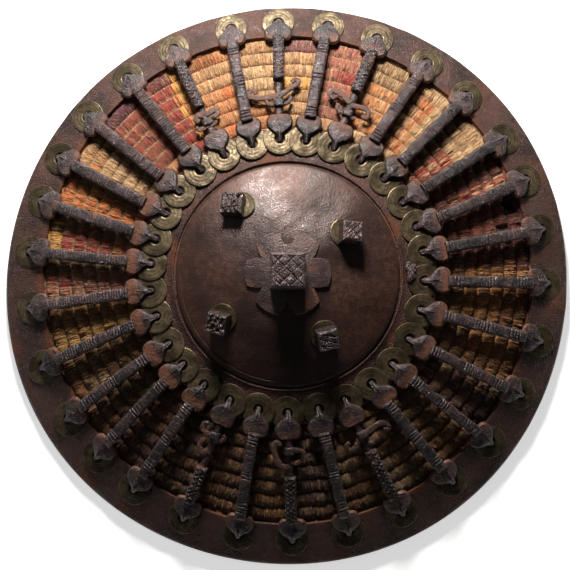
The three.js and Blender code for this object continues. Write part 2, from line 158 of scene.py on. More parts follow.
@dataclass(frozen=True)
class Dome:
    """The sphere of the boss."""

    axis_x: float
    axis_y: float
    edge_z: float
    radius: float = 82.0
    rise: float = 22.0
    edge: float = 1.3

    @property
    def sphere(self) -> float:
        """Radius of the dome's face."""
        return (self.radius**2 + self.rise**2) / (2 * self.rise)

    @property
    def centre_z(self) -> float:
        """Height of the sphere's centre."""
        return self.edge_z + self.edge + self.rise - self.sphere

    def lay(self, plan: np.ndarray, lift: np.ndarray) -> np.ndarray:
        """Puts plan points on the dome.

        Args:
            plan: x and y from the axis, true on the dome's face.
            lift: Height over the face.

        Returns:
            The points in the frame, in millimetres.
        """
        up = np.sqrt(self.sphere**2 - (plan**2).sum(-1))
        normal = np.concatenate([plan, up[..., None]], -1) / self.sphere
        reach = np.broadcast_to(self.sphere + np.asarray(lift, float), up.shape)
        return normal * reach[..., None] + np.array([self.axis_x, self.axis_y, self.centre_z])

    def stand(self, local: np.ndarray, radius: float, clock: float) -> np.ndarray:
        """Stands points that were made on a flat plane square to the dome.

        Args:
            local: Points whose z is the height over the face.
            radius: Plan radius of the place.
            clock: Clock angle of the place.

        Returns:
            The points in the frame, in millimetres.
        """
        lean = math.asin(radius / self.sphere)
        turn = math.radians(clock)
        x, y, z = local[..., 0], local[..., 1], local[..., 2] + self.sphere
        y, z = y * math.cos(lean) + z * math.sin(lean), z * math.cos(lean) - y * math.sin(lean)
        x, y = x * math.cos(turn) + y * math.sin(turn), y * math.cos(turn) - x * math.sin(turn)
        return np.stack([x + self.axis_x, y + self.axis_y, z + self.centre_z], -1)


class Skin:
    """Collects closed surfaces and makes one mesh object of them."""

    def __init__(self) -> None:
        """Starts with nothing."""
        self._points: list[np.ndarray] = []
        self._faces: list[np.ndarray] = []
        self._uvs: list[np.ndarray] = []
        self._weathering_and_shade: list[np.ndarray] = []
        self._tint: list[np.ndarray] = []
        self._count = 0

    def solid(
        self,
        sections: np.ndarray,
        ring: bool = False,
        rust: np.ndarray | float = 0.0,
        tint: np.ndarray | Sequence[float] = (1.0, 1.0, 1.0),
    ) -> "Skin":
        """Adds a closed solid that is lofted through sections.

        Args:
            sections: Points as (section, place in the section, 3); each section is a closed loop.
            ring: Whether the last section joins the first one. Otherwise the ends are closed.
            rust: A weight from 0 to 1 for each point: rust on iron, grime and painted shade on brass, painted
                shade on the thread, rubbing on leather.
            tint: Colour of each point.

        Returns:
            This skin.
        """
        rows, columns = sections.shape[:2]
        index = np.arange(rows * columns).reshape(rows, columns)
        u, v = np.meshgrid(np.arange(rows + 1) / rows, np.arange(columns + 1) / columns, indexing="ij")
        index = np.vstack([index, index[:1]]) if ring else index
        index = np.hstack([index, index[:, :1]])
        u, v = u[: len(index)], v[: len(index)]
        quads, uv = (
            np.stack([grid[:-1, :-1], grid[:-1, 1:], grid[1:, 1:], grid[1:, :-1]], 2)
            for grid in (index, np.stack([u, v], -1))
        )
        quads, uv = quads.reshape(-1, 4), uv.reshape(-1, 4, 2)
        faces, uvs = [quads], [uv]
        if not ring:
            faces += [index[0, :-1][None], index[-1, :-1][::-1][None]]
            uvs.append(np.zeros((2, columns, 2)))
        flat = sections.reshape(-1, 3)
        middle = flat.mean(0)
        a, b, c, d = (flat[quads[:, i]] - middle for i in range(4))
        volume = (a * np.cross(b, c)).sum() + (a * np.cross(c, d)).sum()
        if volume < 0:
            faces = [face[:, ::-1] for face in faces]
            uvs[0] = uv[:, ::-1]
        self._faces += [face + self._count for face in faces]
        self._uvs += [part.reshape(-1) for part in uvs]
        self._points.append(flat)
        self._weathering_and_shade.append(np.broadcast_to(rust, sections.shape[:2]).reshape(-1))
        self._tint.append(np.broadcast_to(np.asarray(tint, float), sections.shape).reshape(-1, 3))
        self._count += len(flat)
        return self

    def build(
        self,
        name: str,
        finish: bpy.types.Material,
        slot: str,
        nodes: Sequence[str] = (),
        crease: float = 38.0,
    ) -> bpy.types.Object:
        """Makes the object and ties it to the frame.

        Args:
            name: The piece's name.
            finish: Its material.
            slot: Name of the piece's material slot; not used.
            nodes: CAD nodes that it stands for.
            crease: Angle in degrees above which an edge stays sharp.

        Returns:
            The finished piece.
        """
        mesh = bpy.data.meshes.new(name)
        corners = np.concatenate([face.reshape(-1) for face in self._faces])
        sizes = np.concatenate([np.full(len(face), face.shape[1]) for face in self._faces])
        mesh.vertices.add(self._count)
        mesh.vertices.foreach_set("co", (np.concatenate(self._points) * MM).astype(np.float32).ravel())
        mesh.loops.add(len(corners))
        mesh.loops.foreach_set("vertex_index", corners.astype(np.int32))
        mesh.polygons.add(len(sizes))
        mesh.polygons.foreach_set("loop_start", (np.cumsum(sizes) - sizes).astype(np.int32))
        mesh.uv_layers.new(name="UVMap")
        mesh.update(calc_edges=True)
        mesh.uv_layers["UVMap"].uv.foreach_set("vector", np.concatenate(self._uvs).astype(np.float32))
        # The rust attribute carries rust, grime and rubbing, and on the thread and the brass also painted
        # shade.
        rust = mesh.attributes.new("rust", "FLOAT", "POINT")
        rust.data.foreach_set("value", np.concatenate(self._weathering_and_shade).astype(np.float32))
        tint = mesh.attributes.new("tint", "FLOAT_COLOR", "POINT")
        colours = np.concatenate(self._tint)
        colours = np.hstack([colours, np.ones((len(colours), 1))])
        tint.data.foreach_set("color", colours.astype(np.float32).ravel())
        mesh.shade_smooth()
        mesh.set_sharp_from_angle(angle=math.radians(crease))
        piece = bpy.data.objects.new(name, mesh)
        bpy.context.scene.collection.objects.link(piece)
        mesh.materials.append(finish)
        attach(piece, BODY)
        if nodes:
            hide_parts(*nodes)
        LOG.info("%s: %d faces", name, len(sizes))
        return piece


class Shader:
    """Short ways to lay out a node material."""

    def __init__(self, name: str) -> None:
        """Makes a bare material with a Principled shader.

        Args:
            name: The material's name.
        """
        self.material = bpy.data.materials.new(name)
        self.material.use_nodes = True
        self.nodes = self.material.node_tree.nodes
        self.nodes.clear()
        output = self.nodes.new("ShaderNodeOutputMaterial")
        self.surface = self.nodes.new("ShaderNodeBsdfPrincipled")
        self.link(self.surface.outputs[0], output.inputs["Surface"])
        self.place = self.nodes.new("ShaderNodeTexCoord").outputs["Object"]

    def link(self, source: Socket, target: Socket) -> None:
        """Joins two sockets."""
        self.material.node_tree.links.new(source, target)

    def feed(self, target: Socket, value: Socket | float | Sequence[float]) -> None:
        """Sets an input, by a link or by a value.

        Args:
            target: The input.
            value: A socket, a number or a colour.
        """
        if isinstance(value, bpy.types.NodeSocket):
            self.link(value, target)
        elif isinstance(value, (int, float)):
            target.default_value = value
        else:
            target.default_value = (*value, 1.0) if len(value) == 3 and target.type == "RGBA" else value

    def stretch(self, scale: Sequence[float], source: Socket | None = None) -> Socket:
        """Coordinates scaled along each axis.

        Args:
            scale: Scale along each axis.
            source: The coordinates; the object's own by default.

        Returns:
            The scaled coordinates.
        """
        node = self.nodes.new("ShaderNodeMapping")
        self.link(source or self.place, node.inputs["Vector"])
        node.inputs["Scale"].default_value = scale
        return node.outputs[0]

    def noise(self, scale: float, detail: float, rough: float, place: Socket | None = None) -> Socket:
        """A cloudy pattern.

        Args:
            scale: Patches in a metre.
            detail: Octaves.
            rough: Weight of the finer octaves.
            place: Coordinates; the object's own by default.

        Returns:
            The pattern's value.
        """
        node = self.nodes.new("ShaderNodeTexNoise")
        self.link(place or self.place, node.inputs["Vector"])
        for key, value in (("Scale", scale), ("Detail", detail), ("Roughness", rough)):
            node.inputs[key].default_value = value
        return node.outputs["Fac"]

    def cells(self, scale: float) -> Socket:
        """A pattern of cells, such as the grain of leather.

        Args:
            scale: Cells in a metre.

        Returns:
            The distance from the nearest edge of a cell.
        """
        node = self.nodes.new("ShaderNodeTexVoronoi")
        node.feature = "DISTANCE_TO_EDGE"
        self.link(self.place, node.inputs["Vector"])
        node.inputs["Scale"].default_value = scale
        return node.outputs["Distance"]

    def band(self, value: Socket, low: float, high: float, start: float = 0.0, end: float = 1.0) -> Socket:
        """Maps a value's range smoothly to another.

        Args:
            value: The value.
            low: Where the range starts.
            high: Where it ends.
            start: Result at the low end.
            end: Result at the high end.

        Returns:
            The mapped value.
        """
        node = self.nodes.new("ShaderNodeMapRange")
        node.interpolation_type = "SMOOTHSTEP"
        self.link(value, node.inputs["Value"])
        for key, number in (("From Min", low), ("From Max", high), ("To Min", start), ("To Max", end)):
            node.inputs[key].default_value = number
        return node.outputs["Result"]

    def math(self, kind: str, a: Socket | float, b: Socket | float = 0.0, clamp: bool = False) -> Socket:
        """One sum of two values.

        Args:
            kind: The operation.
            a: The first value.
            b: The second value.
            clamp: Whether the result is kept between 0 and 1.

        Returns:
            The result.
        """
        node = self.nodes.new("ShaderNodeMath")
        node.operation = kind
        node.use_clamp = clamp
        self.feed(node.inputs[0], a)
        self.feed(node.inputs[1], b)
        return node.outputs[0]

    def mix(
        self,
        part: Socket | float,
        a: Socket | Sequence[float],
        b: Socket | Sequence[float],
        blend: str = "MIX",
    ) -> Socket:
        """A blend of two colours.

        Args:
            part: Share of the second.
            a: The first colour.
            b: The second colour.
            blend: Way to blend.

        Returns:
            The blended colour.
        """
        node = self.nodes.new("ShaderNodeMix")
        node.data_type = "RGBA"
        node.blend_type = blend
        self.feed(node.inputs["Factor"], part)
        self.feed(node.inputs[6], a)
        self.feed(node.inputs[7], b)
        return node.outputs[2]

    def attribute(self, name: str, output: str = "Fac") -> Socket:
        """A value that the mesh carries.

        Args:
            name: The attribute's name.
            output: Fac for a number, Color for a colour.

        Returns:
            The value.
        """
        node = self.nodes.new("ShaderNodeAttribute")
        node.attribute_name = name
        return node.outputs[output]

    def bump(self, height: Socket, depth: float, below: Socket | None = None) -> Socket:
        """Relief in the shading.

        Args:
            height: The relief, from 0 to 1.
            depth: Its depth in metres.
            below: A coarser relief that this one lies on.

        Returns:
            The normal.
        """
        node = self.nodes.new("ShaderNodeBump")
        self.link(height, node.inputs["Height"])
        node.inputs["Distance"].default_value = depth
        node.inputs["Strength"].default_value = 1.0
        if below is not None:
            self.link(below, node.inputs["Normal"])
        return node.outputs[0]

    def finish(
        self, colour: Socket, roughness: Socket | float, normal: Socket, **fixed: float
    ) -> bpy.types.Material:
        """Joins the results to the shader.

        Args:
            colour: Base colour.
            roughness: Roughness.
            normal: Relief.
            **fixed: Other inputs of the shader by name, with _ for a space.

        Returns:
            The material.
        """
        self.link(colour, self.surface.inputs["Base Color"])
        self.feed(self.surface.inputs["Roughness"], roughness)
        self.link(normal, self.surface.inputs["Normal"])
        for key, value in fixed.items():
            self.feed(self.surface.inputs[key.replace("_", " ")], value)
        return self.material


def shade(red: int, green: int, blue: int) -> tuple[float, float, float]:
    """A colour named by its 0 to 255 screen values, as linear light."""
    parts = [value / 255 for value in (red, green, blue)]
    return tuple(p / 12.92 if p <= 0.04045 else ((p + 0.055) / 1.055) ** 2.4 for p in parts)


@dataclass(frozen=True)
class RustedIron:
    """Old iron with a brown skin, worn to grey where it was handled and rusty in its corners."""

    name: str
    skin: tuple[float, float, float]
    worn: tuple[float, float, float]
    dark: tuple[float, float, float]
    rust: tuple[float, float, float] = shade(118, 70, 44)
    metallic: float = 0.45
    gloss: float = 0.85
    rough: float = 0.46
    pits: float = 0.00022
    dents: float = 0.0012
    rust_share: float = 0.5

    def make(self) -> bpy.types.Material:
        """Lays out the finish.

        Returns:
            The material.
        """
        s = Shader(self.name)
        clouds = s.noise(26, 6, 0.6)
        fine = s.noise(240, 5, 0.7)
        grain = s.noise(900, 3, 0.6)
        streaks = s.noise(60, 4, 0.7, s.stretch((1.0, 5.0, 1.0)))
        colour = s.mix(s.band(clouds, 0.38, 0.64), self.skin, self.dark)
        colour = s.mix(s.math("MULTIPLY", s.band(fine, 0.5, 0.72), 0.75), colour, self.worn)
        colour = s.mix(s.math("MULTIPLY", s.band(streaks, 0.5, 0.75), 0.35), colour, self.worn)
        rusty = s.math("ADD", s.attribute("rust"), s.math("SUBTRACT", s.noise(70, 6, 0.7), 0.5))
        rusty = s.math("MULTIPLY", s.band(rusty, 0.22, 0.75), self.rust_share * 1.6, clamp=True)
        rust = s.mix(s.band(fine, 0.35, 0.7), self.rust, tuple(0.35 * c for c in self.rust))
        colour = s.mix(rusty, colour, rust)
        pores = s.math("MULTIPLY", s.band(grain, 0.42, 0.7), 0.35)
        colour = s.mix(pores, colour, tuple(0.4 * c for c in self.dark))
        handled = s.band(fine, 0.3, 0.75, self.rough + 0.12, self.rough - 0.1)
        roughness = s.math("ADD", handled, s.math("MULTIPLY", rusty, 0.25))
        normal = s.bump(s.noise(85, 3, 0.5), self.dents)
        normal = s.bump(s.math("ADD", s.band(grain, 0.35, 0.65), fine), self.pits, normal)
        return s.finish(colour, roughness, normal, Metallic=self.metallic, Specular_IOR_Level=self.gloss)


@dataclass(frozen=True)
class AgedBrass:
    """Thin brass, dulled to olive, with grime in its turned rings and painted shade in its hole, down its
    edge and under it.
    """

    name: str
    bright: tuple[float, float, float] = shade(112, 97, 74)
    olive: tuple[float, float, float] = shade(66, 56, 38)
    grime_and_shade: tuple[float, float, float] = shade(34, 28, 22)

    def make(self) -> bpy.types.Material:
        """Lays out the finish.

        Returns:
            The material.
        """
        s = Shader(self.name)
        clouds = s.noise(75, 5, 0.65)
        fine = s.noise(420, 5, 0.7)
        colour = s.mix(s.band(clouds, 0.36, 0.62), self.bright, self.olive)
        colour = s.mix(s.math("MULTIPLY", s.band(fine, 0.46, 0.66), 0.7), colour, self.grime_and_shade)
        # Grime in the turned rings, and painted shade in the hole, down the edge and under the disc, from the
        # rust attribute.
        dirt_and_shade = s.math("MULTIPLY", s.attribute("rust"), 1.0, clamp=True)
        colour = s.mix(dirt_and_shade, colour, self.grime_and_shade)
        normal = s.bump(s.noise(160, 3, 0.5), 0.0005)
        normal = s.bump(fine, 0.0001, normal)
        return s.finish(colour, s.band(fine, 0.35, 0.7, 0.38, 0.6), normal, Metallic=0.7)


@dataclass(frozen=True)
class WoundThread:
    """Dyed thread, wound side by side round the cane, frayed, faded and soiled, with painted shade from the
    mesh's rust attribute.
    """

    name: str
    # Colour of the soil patches and of the painted shade.
    dirt_and_shade: tuple[float, float, float] = shade(42, 27, 17)
    dust: tuple[float, float, float] = shade(118, 88, 62)
    fibre: tuple[float, float, float] = shade(232, 204, 158)
    dust_share: float = 0.1
    soil_share: float = 0.62

    def make(self) -> bpy.types.Material:
        """Lays out the finish.

        Returns:
            The material.
        """
        s = Shader(self.name)
        uv = s.nodes.new("ShaderNodeTexCoord").outputs["UV"]
        strands = s.noise(1.0, 3, 0.6, s.stretch((1500.0, 3.0, 1.0), uv))
        hairs = s.noise(1.0, 2, 0.6, s.stretch((3200.0, 8.0, 1.0), uv))
        lumps = s.noise(260, 5, 0.7)
        tint = s.attribute("tint", "Color")
        colour = s.mix(s.band(strands, 0.45, 0.7), tint, tint, "MULTIPLY")
        pale = s.mix(0.5, tint, self.fibre)
        colour = s.mix(s.math("MULTIPLY", s.band(hairs, 0.5, 0.75), 0.5), colour, pale)
        colour = s.mix(self.dust_share, colour, self.dust)
        soil = s.band(lumps, 0.48, 0.74)
        colour = s.mix(s.math("MULTIPLY", soil, self.soil_share), colour, self.dirt_and_shade)
        # Painted shade between the rows, over the cane's back and in the worn gaps, from the rust attribute.
        colour = s.mix(s.math("MULTIPLY", s.attribute("rust"), 1.0, clamp=True), colour, self.dirt_and_shade)
        normal = s.bump(strands, 0.0011)
        normal = s.bump(hairs, 0.0005, normal)
        normal = s.bump(lumps, 0.0021, normal)
        return s.finish(colour, 0.92, normal, Specular_IOR_Level=0.15, Sheen_Weight=0.12, Sheen_Roughness=0.6)


@dataclass(frozen=True)
class StrapLeather:
    """Dark leather, creased across and rubbed at its edges."""

    name: str
    face: tuple[float, float, float] = shade(74, 46, 31)
    crease: tuple[float, float, float] = shade(36, 22, 16)
    rubbed: tuple[float, float, float] = shade(120, 82, 56)

    def make(self) -> bpy.types.Material:
        """Lays out the finish.

        Returns:
            The material.
        """
        s = Shader(self.name)
        grain = s.cells(1100)
        clouds = s.noise(60, 5, 0.6)
        folds = s.noise(90, 4, 0.6, s.stretch((1.0, 3.0, 1.0)))
        colour = s.mix(s.band(clouds, 0.35, 0.65), self.face, self.crease)
        colour = s.mix(s.math("MULTIPLY", s.attribute("rust"), s.band(folds, 0.3, 0.6)), colour, self.rubbed)
        normal = s.bump(folds, 0.0009)
        normal = s.bump(s.band(grain, 0.0, 0.12), 0.00018, normal)
        return s.finish(colour, s.band(clouds, 0.3, 0.7, 0.62, 0.8), normal)


@dataclass(frozen=True)
class PaleFloor:
    """A plain pale table top."""

    name: str
    light: tuple[float, float, float] = (0.92, 0.92, 0.92)
    shadow: tuple[float, float, float] = (0.88, 0.88, 0.88)
    glow: float = 0.62

    def make(self) -> bpy.types.Material:
        """Lays out the finish.

        Returns:
            The material.
        """
        s = Shader(self.name)
        colour = s.mix(s.noise(3, 2, 0.5), self.light, self.shadow)
        s.surface.inputs["Emission Color"].default_value = (1.0, 1.0, 1.0, 1.0)
        s.surface.inputs["Emission Strength"].default_value = self.glow
        return s.finish(colour, 0.8, s.bump(s.noise(900, 2, 0.5), 0.0001), Specular_IOR_Level=0.2)


PLATE_SKIN = shade(74, 48, 40)
PLATE_WORN = shade(88, 68, 63)
PLATE_DARK = shade(46, 30, 26)
BOSS_SKIN = shade(66, 46, 41)
BOSS_WORN = shade(80, 62, 60)
BOSS_DARK = shade(48, 33, 29)
BOSS_RUST = shade(90, 54, 36)
ROSETTE_SKIN = shade(88, 70, 66)
ROSETTE_WORN = shade(104, 90, 90)
BAR_SKIN = shade(60, 44, 43)
BAR_WORN = shade(108, 93, 97)
BAR_DARK = shade(28, 21, 20)


@dataclass
class Finishes:
    """Every material of the buckler."""

    plate: bpy.types.Material = field(init=False)
    boss: bpy.types.Material = field(init=False)
    rosette: bpy.types.Material = field(init=False)
    forged: bpy.types.Material = field(init=False)
    brass: bpy.types.Material = field(init=False)
    thread: bpy.types.Material = field(init=False)
    leather: bpy.types.Material = field(init=False)
    floor: bpy.types.Material = field(init=False)

    def __post_init__(self) -> None:
        """Makes the materials."""
        self.plate = RustedIron(
            "iron_plate", PLATE_SKIN, PLATE_WORN, PLATE_DARK, gloss=0.45, dents=0.0007
        ).make()
        self.boss = RustedIron(
            "boss_iron", BOSS_SKIN, BOSS_WORN, BOSS_DARK, BOSS_RUST, gloss=0.7, rough=0.31,
            pits=0.00007, dents=0.00012, rust_share=0.35,
        ).make()
        self.rosette = RustedIron(
            "rosette_iron", ROSETTE_SKIN, ROSETTE_WORN, BOSS_DARK, gloss=0.8, rough=0.36,
            pits=0.0001, dents=0.0002,
        ).make()
        self.forged = RustedIron(
            "forged_iron", BAR_SKIN, BAR_WORN, BAR_DARK, rough=0.36, dents=0.0008, rust_share=0.55
        ).make()
        self.brass = AgedBrass("aged_brass").make()
        self.thread = WoundThread("wound_thread").make()
        self.leather = StrapLeather("strap_leather").make()
        self.floor = PaleFloor("pale_floor").make()


class Dye(Enum):
    """Colours of the thread round the cane."""

    CREAM = shade(206, 170, 126)
    TAN = shade(184, 138, 94)
    KHAKI = shade(150, 116, 78)
    YELLOW = shade(214, 158, 78)
    GOLD = shade(190, 126, 62)
    OLIVE_GOLD = shade(154, 106, 52)
    OLIVE = shade(114, 82, 44)
    ORANGE = shade(206, 118, 58)
    ORANGE_TAN = shade(198, 130, 78)
    ORANGE_BROWN = shade(146, 84, 38)
    BROWN = shade(96, 60, 34)
    ROSE = shade(168, 100, 84)
    MAUVE = shade(132, 82, 80)
    RED = shade(158, 46, 40)
    RED_BROWN = shade(136, 66, 50)
    BURGUNDY = shade(98, 34, 34)
    PLUM = shade(84, 24, 48)


@dataclass(frozen=True)
class Winding:
    """A stretch of the coil that was wound in one colour."""

    bay: int
    dye: Dye
    rows: tuple[int, int] = (0, 9)
    part: tuple[float, float] = (0.0, 1.0)
    flecks: Dye | None = None
    fleck_share: float = 0.25
    seam: Dye | None = None


@dataclass(frozen=True)
class Gap:
    """A place where the winding and the cane under it are worn away."""

    clock: float
    row: int
    half_width: float
    depth: float


@dataclass
class Spoke:
    """Where one bar lies, and how its smith finished it."""

    index: int
    drift: float
    swing: float

    COUNT: ClassVar[int] = 30
    FIRST_CLOCK: ClassVar[float] = -2.0
    DRIFT_CIRCLE: ClassVar[float] = 190.0
    SWING_CIRCLE: ClassVar[float] = 118.0

    @property
    def clock(self) -> float:
        """Clock angle of the outer end."""
        return self.FIRST_CLOCK + 360 / self.COUNT * self.index + self.drift

    def clock_at(self, radius: np.ndarray) -> np.ndarray:
        """Clock angle of the middle line at a plan radius."""
        inward = (self.DRIFT_CIRCLE - radius) / (self.DRIFT_CIRCLE - self.SWING_CIRCLE)
        return self.clock + self.swing * inward

    def plan(self, radius: np.ndarray, across: np.ndarray) -> np.ndarray:
        """Plan points along the bar and to its clockwise side."""
        return polar(radius, self.clock_at(radius), across)


DRIFTS = (
    0, -1, -1.5, -1, -1.5, -1, -2.5, -3, -3, -2, -1.5, -1, -1, 0, 0.5,
    1, 1, 1.5, 2, 1, -0.5, 0, 1.5, 2, 1.5, 0, -1, -0.5, -0.5, 1,
)
SWINGS = (
    -1, -1, -0.5, -0.5, 0.5, 0.5, 1.5, 1, 1, 0.5, 1, 1, 1, 1, 0.5,
    0.5, 1, 1, 1, 2, 2, 2, 0, -1, -1.5, -1, -1, -0.5, -1, -1.5,
)
SPOKES = tuple(Spoke(i, drift, swing) for i, (drift, swing) in enumerate(zip(DRIFTS, SWINGS)))

W = Winding
D = Dye
WINDINGS = (
    W(0, D.TAN, flecks=D.CREAM), W(0, D.MAUVE, (0, 1)), W(0, D.YELLOW, (4, 4), flecks=D.CREAM),
    W(1, D.ROSE, flecks=D.TAN, seam=D.CREAM), W(1, D.RED, (3, 3), (0.5, 0.85)),
    W(1, D.TAN, (7, 9), flecks=D.CREAM), W(1, D.MAUVE, (0, 0)),
    W(2, D.ORANGE_TAN, flecks=D.CREAM, seam=D.CREAM), W(2, D.KHAKI, (0, 2), flecks=D.CREAM),
    W(2, D.CREAM, (7, 9)),
    W(3, D.CREAM, flecks=D.TAN), W(3, D.ORANGE_BROWN, (0, 9), (0.0, 0.25)),
    W(3, D.ORANGE, (2, 6), (0.42, 0.66), flecks=D.CREAM),
    W(4, D.CREAM, (0, 3), flecks=D.TAN), W(4, D.RED, (4, 9), flecks=D.CREAM, fleck_share=0.4),
    W(4, D.OLIVE, (0, 9), (0.0, 0.42)), W(4, D.CREAM, (8, 9)),
    W(5, D.BURGUNDY, flecks=D.BROWN), W(5, D.RED, (0, 5), (0.62, 0.92), flecks=D.CREAM, fleck_share=0.45),
    W(5, D.CREAM, (1, 2), (0.86, 1.0)),
    W(6, D.BURGUNDY, flecks=D.BROWN), W(6, D.RED_BROWN, (3, 5), (0.3, 0.8), flecks=D.BURGUNDY),
    W(7, D.BURGUNDY, flecks=D.RED_BROWN), W(7, D.GOLD, (0, 9), (0.62, 1.0), flecks=D.BROWN),
    W(7, D.OLIVE, (6, 9), (0.3, 0.7)),
    W(8, D.GOLD, flecks=D.TAN), W(8, D.ORANGE_BROWN, (0, 2)), W(8, D.OLIVE_GOLD, (6, 9)),
    W(9, D.GOLD, flecks=D.ORANGE_BROWN), W(9, D.ORANGE, (3, 4), (0.3, 0.6)), W(9, D.OLIVE_GOLD, (5, 9)),
    W(10, D.BURGUNDY, flecks=D.TAN), W(10, D.BROWN, (0, 1)), W(10, D.TAN, (5, 5), flecks=D.BURGUNDY),
    W(11, D.OLIVE_GOLD, flecks=D.GOLD), W(11, D.GOLD, (0, 2), (0.3, 1.0)),
    W(12, D.OLIVE_GOLD, flecks=D.CREAM, fleck_share=0.15), W(12, D.CREAM, (1, 3), (0.62, 1.0)),
    W(13, D.OLIVE_GOLD, flecks=D.GOLD), W(13, D.CREAM, (3, 4), (0.5, 0.75), flecks=D.GOLD),
    W(14, D.BURGUNDY, flecks=D.CREAM), W(14, D.TAN, (1, 1), flecks=D.BURGUNDY),
    W(15, D.ORANGE_BROWN, flecks=D.GOLD), W(15, D.GOLD, (0, 2), (0.1, 0.6), flecks=D.CREAM),
    W(16, D.ORANGE_BROWN, flecks=D.BROWN), W(16, D.ORANGE_TAN, (0, 1), (0.0, 0.35)),
    W(17, D.BROWN, flecks=D.BURGUNDY), W(17, D.OLIVE, (0, 1)), W(17, D.ORANGE_BROWN, (3, 3)),
    W(18, D.BURGUNDY, flecks=D.ORANGE_BROWN), W(18, D.ORANGE_BROWN, (4, 9), flecks=D.BURGUNDY),
    W(19, D.OLIVE, flecks=D.ORANGE_BROWN), W(19, D.ORANGE_BROWN, (0, 2), flecks=D.GOLD),
    W(20, D.OLIVE_GOLD, flecks=D.BROWN), W(20, D.ORANGE, (0, 1), (0.0, 0.6), flecks=D.CREAM),
    W(20, D.CREAM, (2, 3), (0.0, 0.4), flecks=D.GOLD),
    W(21, D.OLIVE_GOLD, flecks=D.GOLD), W(21, D.YELLOW, (0, 9), (0.0, 0.42), flecks=D.CREAM),
    W(22, D.RED, flecks=D.CREAM, fleck_share=0.4, seam=D.CREAM),
    W(22, D.ROSE, (3, 9), flecks=D.CREAM, seam=D.CREAM),
    W(22, D.OLIVE, (0, 9), (0.66, 1.0)),
    W(23, D.RED, flecks=D.ROSE, seam=D.CREAM), W(23, D.YELLOW, (0, 1), flecks=D.TAN),
    W(23, D.ORANGE_TAN, (6, 9), seam=D.CREAM), W(23, D.OLIVE, (0, 9), (0.62, 1.0)),
    W(24, D.ORANGE, flecks=D.ORANGE_TAN, seam=D.CREAM), W(24, D.OLIVE, (0, 9), (0.66, 1.0)),
    W(25, D.CREAM, flecks=D.TAN, seam=D.TAN), W(25, D.ORANGE_TAN, (2, 2), (0.0, 0.35)),
    W(25, D.TAN, (0, 2), (0.2, 0.7), flecks=D.YELLOW), W(25, D.OLIVE, (0, 9), (0.68, 1.0)),
    W(26, D.RED_BROWN, flecks=D.RED, seam=D.CREAM), W(26, D.PLUM, (0, 1)),
    W(26, D.ORANGE_TAN, (7, 9), flecks=D.CREAM),
    W(27, D.RED, (0, 9), (0.0, 0.6), flecks=D.BURGUNDY, seam=D.CREAM),
    W(27, D.YELLOW, (0, 6), (0.6, 1.0), flecks=D.GOLD),
    W(27, D.RED, (7, 9), seam=D.CREAM), W(27, D.BURGUNDY, (1, 1), (0.2, 0.7)),
    W(28, D.ORANGE_TAN, flecks=D.CREAM), W(28, D.ORANGE_BROWN, (0, 1), (0.0, 0.7), flecks=D.ORANGE),
    W(28, D.ORANGE, (4, 4), (0.55, 0.9)), W(28, D.TAN, (2, 3), flecks=D.CREAM),
    W(28, D.ORANGE, (7, 7), (0.5, 0.75)),
    W(29, D.TAN, flecks=D.CREAM, seam=D.KHAKI), W(29, D.CREAM, (3, 4), flecks=D.TAN),
    W(29, D.ORANGE_TAN, (6, 9), flecks=D.TAN),
)
GAPS = (
    Gap(72.0, 1, 2.6, 7.0), Gap(77.0, 2, 1.2, 3.0), Gap(167.0, 3, 1.8, 4.5), Gap(170.0, 5, 1.4, 4.0),
    Gap(163.0, 6, 1.3, 3.0), Gap(66.0, 5, 1.5, 2.0), Gap(204.0, 4, 1.5, 2.0), Gap(128.0, 1, 2.5, 3.0),
)


